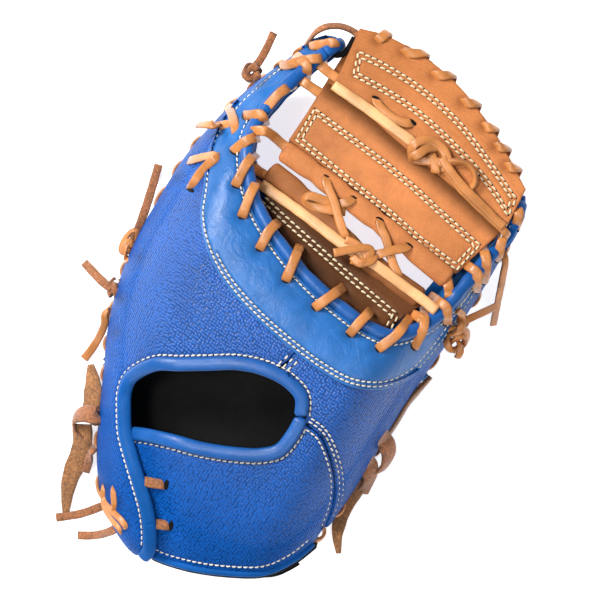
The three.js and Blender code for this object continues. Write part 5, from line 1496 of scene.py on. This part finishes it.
def flap_laces(sizes):
    """Short laces that come out of the strap, the crossed lace of the flap, and its two tails."""
    laces("flap_upper_lace", [
        course("strap", [(-22, -138.5, "back", -6), (-17, -136.8, 5), (-12, -134.8, 2),
            (-8.8, -133.2, 0.8), (-6.6, -132.2, -3.5, 1, 0.3, 0.2)]),
    ], "rough_lace", ["flap_lace_upper"], sizes)
    laces("flap_lower_lace", [
        course("strap", [(-4, -157, "back", -6), (0.5, -155, 4), (4, -153.4, 1.6), (6.6, -152, 0.7),
            (8.6, -151, -3.5, 1, 0.3, 0.2)]),
    ], "rough_lace", ["flap_lace_lower"], sizes)
    laces("flap_crossed_lace", [
        course("back", [(-36.5, -154, -4, 0, 1, 0.3), (-36, -156.4, 0.9, -0.5, 0, 1),
            (-32.5, -161, 1.7), (-25, -163.6, 2.1), (-18, -164.6, 1.9), (-13.4, -166.4, 0.9),
            (-12.5, -168, -4, 0.5, -1, 0.3)]),
        course("back", [(-35.5, -158.6, 0.3, -1, 0, 0.6), (-31, -164.4, 1.1, -0.7, -0.4, 0.8),
            (-24, -167.6, 1.3, -0.4, -0.5, 0.8), (-17, -169.4, 1.1), (-14.4, -170.6, 0.6),
            (-13, -171, -4)]),
        course("back", [(-31.2, -150.4, -4, 0, 1, 0.3), (-30.6, -152.6, 0.9), (-28, -156.6, 1.2),
            (-25.4, -160.2, 0.9), (-24, -162.5, -0.8)]),
    ], "lace", ["flap_cross_lace"], sizes, width=3.8)
    laces("flap_outer_tail", [
        course("floor", [(-29, -162, 14), (-31.6, -165.6, 12, 0, 0, 1), (-36, -172, 8), (-42, -179, 4),
            (-51, -187, 1.6)]),
    ], "rough_lace", ["flap_tail_outer"], sizes, width=5.0)
    laces("flap_inner_tail", [
        course("floor", [(-16, -168, 26), (-18.4, -173.6, 22, 0, -0.4, 1), (-23, -180, 12, 0, -0.3, 1),
            (-28, -184.6, 5), (-34.4, -188.8, 1.8)]),
    ], "rough_lace", ["flap_tail_inner"], sizes, width=5.0)


def rim_laces(sizes):
    """The lace that closes the rim, seen as short runs outside the wall between its holes."""
    def run(start, end, side):
        """One run outside the wall, its ends 5 inside the leather, bulged to 0.9 midway."""
        places = RIM_CHAIN[RIM_CHAIN[:, 0] * side > 0]
        order = np.argsort(places[:, 1])
        ys = np.linspace(start, end, 9)
        x = np.interp(ys, places[order, 1], places[order, 0])
        plan = np.stack([x, ys], axis=1)
        away = np.gradient(plan, axis=0)
        away = unit(np.stack([away[:, 1], -away[:, 0]], axis=1))
        away *= np.where(away[:, :1] * side > 0, 1, -1)
        bulge = np.array([-5, -1.6, 0.2, 0.8, 0.9, 0.8, 0.2, -1.6, -5])
        plan = plan + away * bulge[:, None]
        lift = rim_at(x, ys)[1] + 10
        points = spline(np.column_stack([plan, lift]), 6)
        share = np.linspace(0, 8, len(points))
        return points, read_off(np.column_stack([away, np.full(9, 0.15)]), share)

    finger = [(127, 117), (113, 105), (103, 84), (82, 66), (52, 37), (34, 18), (16, -4), (-8, -18),
              (-34, -48), (-58, -74), (-78, -90), (-94, -106), (-110, -122), (-128, -142), (-150, -164)]
    laces("finger_rim_lace", [run(a, b, -1) for a, b in finger], "lace", [], sizes, width=4.6)
    thumb = [(112, 102), (96, 84), (64, 49), (42, 28), (21, 4), (0, -12), (-18, -34), (-42, -56),
             (-64, -78), (-84, -98), (-104, -116)]
    laces("thumb_rim_lace", [run(a, b, 1) for a, b in thumb], "lace", [], sizes, width=4.6)


def heel_straps(sizes):
    """Suede straps on both sides of the heel, each held in a wide keeper."""
    width = sizes.strap_width * 1000
    laces("finger_heel_strap", [
        (*course("floor", [(-66, -128, 12, -0.4, 0, 1), (-71, -116, 14, -0.5, 0, 1),
            (-76, -108, 12, -0.3, 0, 1), (-83, -99.6, 8, 0, 0, 1)]), 16),
        (*course("floor", [(-68, -132, 13, -0.3, 0, 1), (-61.5, -142, 9, -0.2, 0, 1), (-59, -152, 5),
            (-56.4, -164, 2.4), (-52, -174, 1.8), (-47.8, -181.6, 1.8)]), 26),
    ], "suede", ["finger_strap"], sizes, width=width * 1.18, thickness=2.2)
    laces("finger_heel_keeper", [
        course("floor", [(-60, -124, "back", -4, -0.2, 0.5, 1), (-65, -122.6, 25, -0.6, 0.5, 1),
            (-71, -125.5, 21, -1, 0.2, 0.7), (-74, -130.5, 14, -1, 0, 0.35),
            (-71, -136.5, 9, -1, -0.4, 0.3), (-65, -139.6, 6, -0.6, -1, 0.5)]),
    ], "rough_lace", ["finger_strap_keeper"], sizes, width=12.0)
    laces("finger_heel_loop", [
        course("floor", [(-54, -139, "back", -3), (-54.6, -143, 16, -0.7, 0, 0.7), (-52.6, -149, 10),
            (-51, -154.6, 5)]),
    ], "rough_lace", [], sizes, width=5.0)
    laces("thumb_heel_strap", [
        (*course("floor", [(86.5, -46, 18, 1, 0, 0.3), (87, -30, 21, 1, 0, 0.25),
            (86.6, -16, 23, 1, 0, 0.25), (89.4, 4, 24, 1, 0, 0.4)]), 14),
        (*course("floor", [(90, -68, 16, 0.8, 0, 0.6), (89.5, -76, 13, 0.4, 0, 1),
            (90, -92, 7, 0, 0, 1), (94, -104, 3), (101, -113.6, 1.8)]), 18),
    ], "suede", ["thumb_strap"], sizes, width=width * 0.85, thickness=2.2)
    laces("thumb_heel_keeper", [
        course("floor", [(80, -42, "back", -3, 0.3, 0, 1), (87, -42.5, 32, 0.3, 0, 1),
            (92.5, -46, 27, 0.7, 0, 0.8), (95.4, -52, 20, 0.9, 0.1, 0.5), (95, -59, 14, 0.9, 0.1, 0.5)]),
        course("floor", [(80, -58, "back", -3, 0.3, 0, 1), (87, -59.5, 25, 0.4, 0, 1),
            (91.5, -64, 19, 0.8, 0, 0.7), (93, -70, 13, 0.8, 0.1, 0.6), (92.5, -76, 9, 0.6, 0.1, 0.8)]),
    ], "rough_lace", ["thumb_strap_keeper"], sizes, width=11.0)


def placed(shape, middles, ways, sides, ups):
    """Copies of a small shape, each at its middle m: m + way x + side y + up z."""
    return (middles[:, None] + ways[:, None] * shape[None, :, :1] + sides[:, None] * shape[None, :, 1:2]
            + ups[:, None] * shape[None, :, 2:]).reshape(-1, 3)


def repeated(faces, copies, points):
    """The faces of a small shape for each of its copies."""
    return (faces[None] + points * np.arange(copies)[:, None, None]).reshape(-1, faces.shape[1])


def stitches(name, rows, sizes, sink, stretch=1.0, look="thread"):
    """Each stitch is a thread from hole to hole: at share s of its length the radius is
    r (1 - |s|^4)^(1/2) and the lift falls with s^2, slanted a little across its row."""
    pitch, thick = sizes.stitch_pitch * 1000 * stretch, sizes.stitch_width * 1000 * stretch
    centres, ways, ups = [], [], []
    for level, line in rows:
        run = lengths(line)
        count = max(int(run[-1] / pitch), 1)
        middle = (np.arange(count) + 0.5) / count
        plan = at_shares(line, middle)[:, :2]
        ahead = at_shares(line, np.minimum(middle + 0.4 / count, 1))[:, :2]
        behind = at_shares(line, np.maximum(middle - 0.4 / count, 0))[:, :2]

        def lifted(places):
            """Plan places set on the row's level."""
            return np.column_stack([places, LEVELS[level](places[:, 0], places[:, 1])])

        way = unit(lifted(ahead) - lifted(behind))
        side = unit(np.stack([-way[:, 1], way[:, 0], np.zeros(count)], axis=1))
        slope = lifted(plan + side[:, :2]) - lifted(plan - side[:, :2])
        up = np.cross(way, unit(slope))
        up *= np.where(up[:, 2:] < 0, -1, 1)
        centres.append(lifted(plan) + up * (thick * 0.42 - sink))
        ways.append(way + np.cross(up, way) * 0.13)
        ups.append(up)
    centre, way, up = (np.concatenate(part) for part in (centres, ways, ups))
    side = np.cross(up, way)
    share = np.array([-1, -0.86, -0.45, 0, 0.45, 0.86, 1])
    radius = thick / 2 * np.maximum(1 - np.abs(share) ** 4, 0.05) ** 0.5
    angle = 2 * math.pi * np.arange(6) / 6
    lift = -0.5 * share**2
    local = np.stack([np.repeat(share * pitch * 0.43, 6),
                      np.outer(radius * 1.1, np.cos(angle)).ravel(),
                      (np.outer(radius, np.sin(angle)) + lift[:, None]).ravel()], axis=1)
    ends = np.array([[0, 5, 4, 3], [0, 3, 2, 1], [36, 37, 38, 39], [36, 39, 40, 41]])
    quads = repeated(np.concatenate([ring_faces(7, 6)[0], ends]), len(centre), len(local))
    stand_for(build(name, placed(local, centre, way, side, up), quads, [], look), look)
    # Painted shade in the stitch holes: small near-black cones at each stitch's end.
    angle = angle[:, None]
    local = np.vstack([np.hstack([np.cos(angle) * 0.6, np.sin(angle) * 0.5, 0 * angle]),
                       [[0, 0, 0.14], [0, 0, -0.4]]])
    middle = centre - up * (thick * 0.42 - 0.03) + way * pitch / 2
    edge = np.arange(6)
    faces = np.vstack([np.stack([edge, (edge + 1) % 6, np.full(6, 6)], axis=1),
                       np.stack([(edge + 1) % 6, edge, np.full(6, 7)], axis=1)])
    faces = repeated(faces, len(middle), len(local))
    stand_for(build(name + "_hole_shades", placed(local, middle, way, side, up), [], faces, "hole"), "hole")


def stitching(sizes):
    """Stitches on every sewn row, by the leather that they lie on."""
    depth = sizes.seam_depth * 1000
    for kind, name in (("crotch", "crotch_stitches"), ("back", "back_stitches"),
                       ("strap", "strap_stitches")):
        stitches(name, ROWS[kind], sizes, depth * 0.75)
    stitches("web_stitches", ROWS["web"], sizes, depth * 0.75, 1.2, "web_thread")


def eyelets():
    """Painted shade in the lace holes: near-black low ovals sunk into the leather, wide across the lace.
    """
    places = []
    for wrap in sum(WRAPS.values(), []):
        way = unit(np.array([wrap[0] - wrap[2], wrap[1] - wrap[3]], float))
        places.append((wrap[0], wrap[1], "crotch", -1.25, *way))
    places += [(-25.5, 67.4, "web", 3.4, 0, 1), (-5.6, 65.8, "web", 3.4, 0, 1),
               (13.6, 63.6, "web", 3.4, 0, 1), (35.7, 60.3, "web", 3.4, 0, 1),
               (-26.4, 121.3, "web", 0.1, 0, 1), (-1.7, 121.3, "web", 0.1, 0, 1),
               (-88.3, 19.4, "back", 0.15, 0, -1), (-7, -132.4, "strap", 0.1, 1, 0.4),
               (8.2, -151.4, "strap", 0.1, 1, 0.4)]
    points, quads, count = [], [], 0
    ring = 2 * math.pi * np.arange(16) / 16
    for x, y, level, rise, wx, wy in places:
        centre = np.array([x + wx * 0.35, y + wy * 0.35])
        rows = []
        for size, lift in ((1.0, -1.2), (1.0, 0.05), (0.6, 0.16), (0.12, 0.2)):
            plan = (centre + np.outer(np.cos(ring) * 1.35 * size, (wx, wy))
                    + np.outer(np.sin(ring) * 2.9 * size, (-wy, wx)))
            rows.append(np.column_stack([plan, LEVELS[level](plan[:, 0], plan[:, 1]) + rise + lift]))
        points.append(np.concatenate(rows))
        round_faces, index, _ = ring_faces(4, 16)
        index = index + count
        quads.append(round_faces + count)
        tips = [[index[-1][k], index[-1][k + 1], index[-1][14 - k], index[-1][15 - k]] for k in range(7)]
        feet = [[index[0][15 - k], index[0][14 - k], index[0][k + 1], index[0][k]] for k in range(7)]
        quads += [np.array(tips), np.array(feet)]
        count += 64
    piece = build("lace_hole_shades", np.concatenate(points), np.concatenate(quads), [], "hole")
    stand_for(piece, "hole")


def lamp(name, place, width, power):
    """A round soft lamp, turned to the mitt: yaw atan2(y, x), tilt atan2(|xy|, z)."""
    light = bpy.data.lights.new(name, "AREA")
    light.shape = "DISK"
    light.size = width
    light.energy = power
    piece = bpy.data.objects.new(name, light)
    bpy.context.scene.collection.objects.link(piece)
    x, y, z = np.array(place) - LAMP_AIM
    piece.location = place
    piece.rotation_euler = (0.0, math.atan2(math.hypot(x, y), z), math.atan2(y, x))


def stage():
    """Pale floor that glows with painted light, white surround, a large soft lamp at the picture's
    upper left, one nearly overhead and a weaker one opposite, and a long lens straight above with
    the fingers turned 33 degrees clockwise. Its focal length is sensor * height / picture width."""
    scene = bpy.context.scene
    mesh = bpy.data.meshes.new("floor")
    corners = [(x * FLOOR_REACH, y * FLOOR_REACH, FLOOR_LEVEL)
               for x, y in ((-1, -1), (1, -1), (1, 1), (-1, 1))]
    mesh.from_pydata(corners, [], [(0, 1, 2, 3)])
    mesh.materials.append(finish("floor"))
    floor = bpy.data.objects.new("floor", mesh)
    scene.collection.objects.link(floor)
    world = bpy.data.worlds.new("studio")
    world.use_nodes = True
    background = world.node_tree.nodes["Background"]
    background.inputs["Color"].default_value = (1.0, 1.0, 1.0, 1.0)
    background.inputs["Strength"].default_value = SURROUND_GLOW
    scene.world = world
    scene.view_settings.view_transform = "Standard"
    for name, values in LAMPS.items():
        lamp(name, *values)
    lens = bpy.data.cameras.new("camera")
    lens.sensor_width = SENSOR_WIDTH
    lens.lens = SENSOR_WIDTH * CAMERA_HEIGHT / PICTURE_WIDTH
    lens.clip_end = 20
    camera = bpy.data.objects.new("camera", lens)
    scene.collection.objects.link(camera)
    camera.location = (SHIFT[0] / 1000, SHIFT[1] / 1000, CAMERA_MIDDLE + CAMERA_HEIGHT)
    camera.rotation_euler = (0.0, 0.0, math.radians(CAMERA_TURN))
    scene.camera = camera


class MITT_OT_palm(bpy.types.Operator):
    """Pad of the palm and its lining"""

    bl_idname = "mitt.palm"
    bl_label = "Palm"

    def execute(self, context):
        palm()
        return {"FINISHED"}


class MITT_OT_back_panels(bpy.types.Operator):
    """Pebbled finger and thumb panels of the back"""

    bl_idname = "mitt.back_panels"
    bl_label = "Back panels"

    def execute(self, context):
        back_panels(context.scene.mitt_sizes)
        return {"FINISHED"}


class MITT_OT_crotch_panel(bpy.types.Operator):
    """Smooth panel that laps over the back below the web"""

    bl_idname = "mitt.crotch_panel"
    bl_label = "Crotch panel"

    def execute(self, context):
        crotch_panel(context.scene.mitt_sizes)
        return {"FINISHED"}


class MITT_OT_wrist_strap(bpy.types.Operator):
    """Pebbled strap and its lining"""

    bl_idname = "mitt.wrist_strap"
    bl_label = "Wrist strap"

    def execute(self, context):
        wrist_strap(context.scene.mitt_sizes)
        return {"FINISHED"}


class MITT_OT_web(bpy.types.Operator):
    """Panels and rolled bars of the web"""

    bl_idname = "mitt.web"
    bl_label = "Web"

    def execute(self, context):
        web(context.scene.mitt_sizes)
        return {"FINISHED"}


class MITT_OT_rolls(bpy.types.Operator):
    """Bindings of the wrist hole and strap, and the rolled edges"""

    bl_idname = "mitt.rolls"
    bl_label = "Bindings and rolls"

    def execute(self, context):
        rolls()
        return {"FINISHED"}


class MITT_OT_edge_laces(bpy.types.Operator):
    """Whip lacing over the rolled edges and the web's top"""

    bl_idname = "mitt.edge_laces"
    bl_label = "Edge lacing"

    def execute(self, context):
        edge_laces(context.scene.mitt_sizes)
        return {"FINISHED"}


class MITT_OT_web_ties(bpy.types.Operator):
    """Ties, knots and crossed laces of the web"""

    bl_idname = "mitt.web_ties"
    bl_label = "Web ties"

    def execute(self, context):
        web_ties(context.scene.mitt_sizes)
        return {"FINISHED"}


class MITT_OT_links(bpy.types.Operator):
    """Laces from the web's ends to the two sides"""

    bl_idname = "mitt.links"
    bl_label = "Links"

    def execute(self, context):
        links(context.scene.mitt_sizes)
        return {"FINISHED"}


class MITT_OT_lining_tabs(bpy.types.Operator):
    """Ends of the black lining that show"""

    bl_idname = "mitt.lining_tabs"
    bl_label = "Lining ends"

    def execute(self, context):
        lining_tabs(context.scene.mitt_sizes)
        return {"FINISHED"}


class MITT_OT_side_laces(bpy.types.Operator):
    """Knots, loops and tails of the two sides"""

    bl_idname = "mitt.side_laces"
    bl_label = "Side lacing"

    def execute(self, context):
        side_laces(context.scene.mitt_sizes)
        return {"FINISHED"}


class MITT_OT_flap_laces(bpy.types.Operator):
    """Laces and tails of the flap and strap"""

    bl_idname = "mitt.flap_laces"
    bl_label = "Flap laces"

    def execute(self, context):
        flap_laces(context.scene.mitt_sizes)
        return {"FINISHED"}


class MITT_OT_rim_laces(bpy.types.Operator):
    """Running lace along the rim"""

    bl_idname = "mitt.rim_laces"
    bl_label = "Rim lacing"

    def execute(self, context):
        rim_laces(context.scene.mitt_sizes)
        return {"FINISHED"}


class MITT_OT_heel_straps(bpy.types.Operator):
    """Suede straps and their keepers"""

    bl_idname = "mitt.heel_straps"
    bl_label = "Heel straps"

    def execute(self, context):
        heel_straps(context.scene.mitt_sizes)
        return {"FINISHED"}


class MITT_OT_stitching(bpy.types.Operator):
    """Every sewn row of thread"""

    bl_idname = "mitt.stitching"
    bl_label = "Stitching"

    def execute(self, context):
        stitching(context.scene.mitt_sizes)
        return {"FINISHED"}


class MITT_OT_eyelets(bpy.types.Operator):
    """Painted shade in the lace holes"""

    bl_idname = "mitt.eyelets"
    bl_label = "Lace hole shades"

    def execute(self, context):
        eyelets()
        return {"FINISHED"}


class MITT_OT_stage(bpy.types.Operator):
    """Floor, surround, lamps and camera"""

    bl_idname = "mitt.stage"
    bl_label = "Stage"

    def execute(self, context):
        stage()
        return {"FINISHED"}


OPERATORS = (
    MITT_OT_palm,
    MITT_OT_back_panels,
    MITT_OT_crotch_panel,
    MITT_OT_wrist_strap,
    MITT_OT_web,
    MITT_OT_rolls,
    MITT_OT_edge_laces,
    MITT_OT_web_ties,
    MITT_OT_links,
    MITT_OT_lining_tabs,
    MITT_OT_side_laces,
    MITT_OT_flap_laces,
    MITT_OT_rim_laces,
    MITT_OT_heel_straps,
    MITT_OT_stitching,
    MITT_OT_eyelets,
    MITT_OT_stage,
)


class MITT_PT_sidebar(bpy.types.Panel):
    """Sizes, colours and makers of the mitt"""

    bl_label = "First baseman mitt"
    bl_space_type = "VIEW_3D"
    bl_region_type = "UI"
    bl_category = "Mitt"

    def draw(self, context):
        layout = self.layout
        for group in (context.scene.mitt_sizes, context.scene.mitt_colours):
            for name in group.bl_rna.properties.keys():
                if name not in ("rna_type", "name"):
                    layout.prop(group, name)
        for maker in OPERATORS:
            layout.operator(maker.bl_idname)


CLASSES = (MittSizes, MittColours, *OPERATORS, MITT_PT_sidebar)


def register():
    """Adds the classes and the two groups of settings."""
    for kind in CLASSES:
        bpy.utils.register_class(kind)
    bpy.types.Scene.mitt_sizes = bpy.props.PointerProperty(type=MittSizes)
    bpy.types.Scene.mitt_colours = bpy.props.PointerProperty(type=MittColours)


def unregister():
    """Takes them away again."""
    del bpy.types.Scene.mitt_colours
    del bpy.types.Scene.mitt_sizes
    for kind in reversed(CLASSES):
        bpy.utils.unregister_class(kind)


def main():
    """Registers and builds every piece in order."""
    register()
    for maker in OPERATORS:
        group, name = maker.bl_idname.split(".")
        getattr(getattr(bpy.ops, group), name)()


if __name__ == "__main__":
    main()
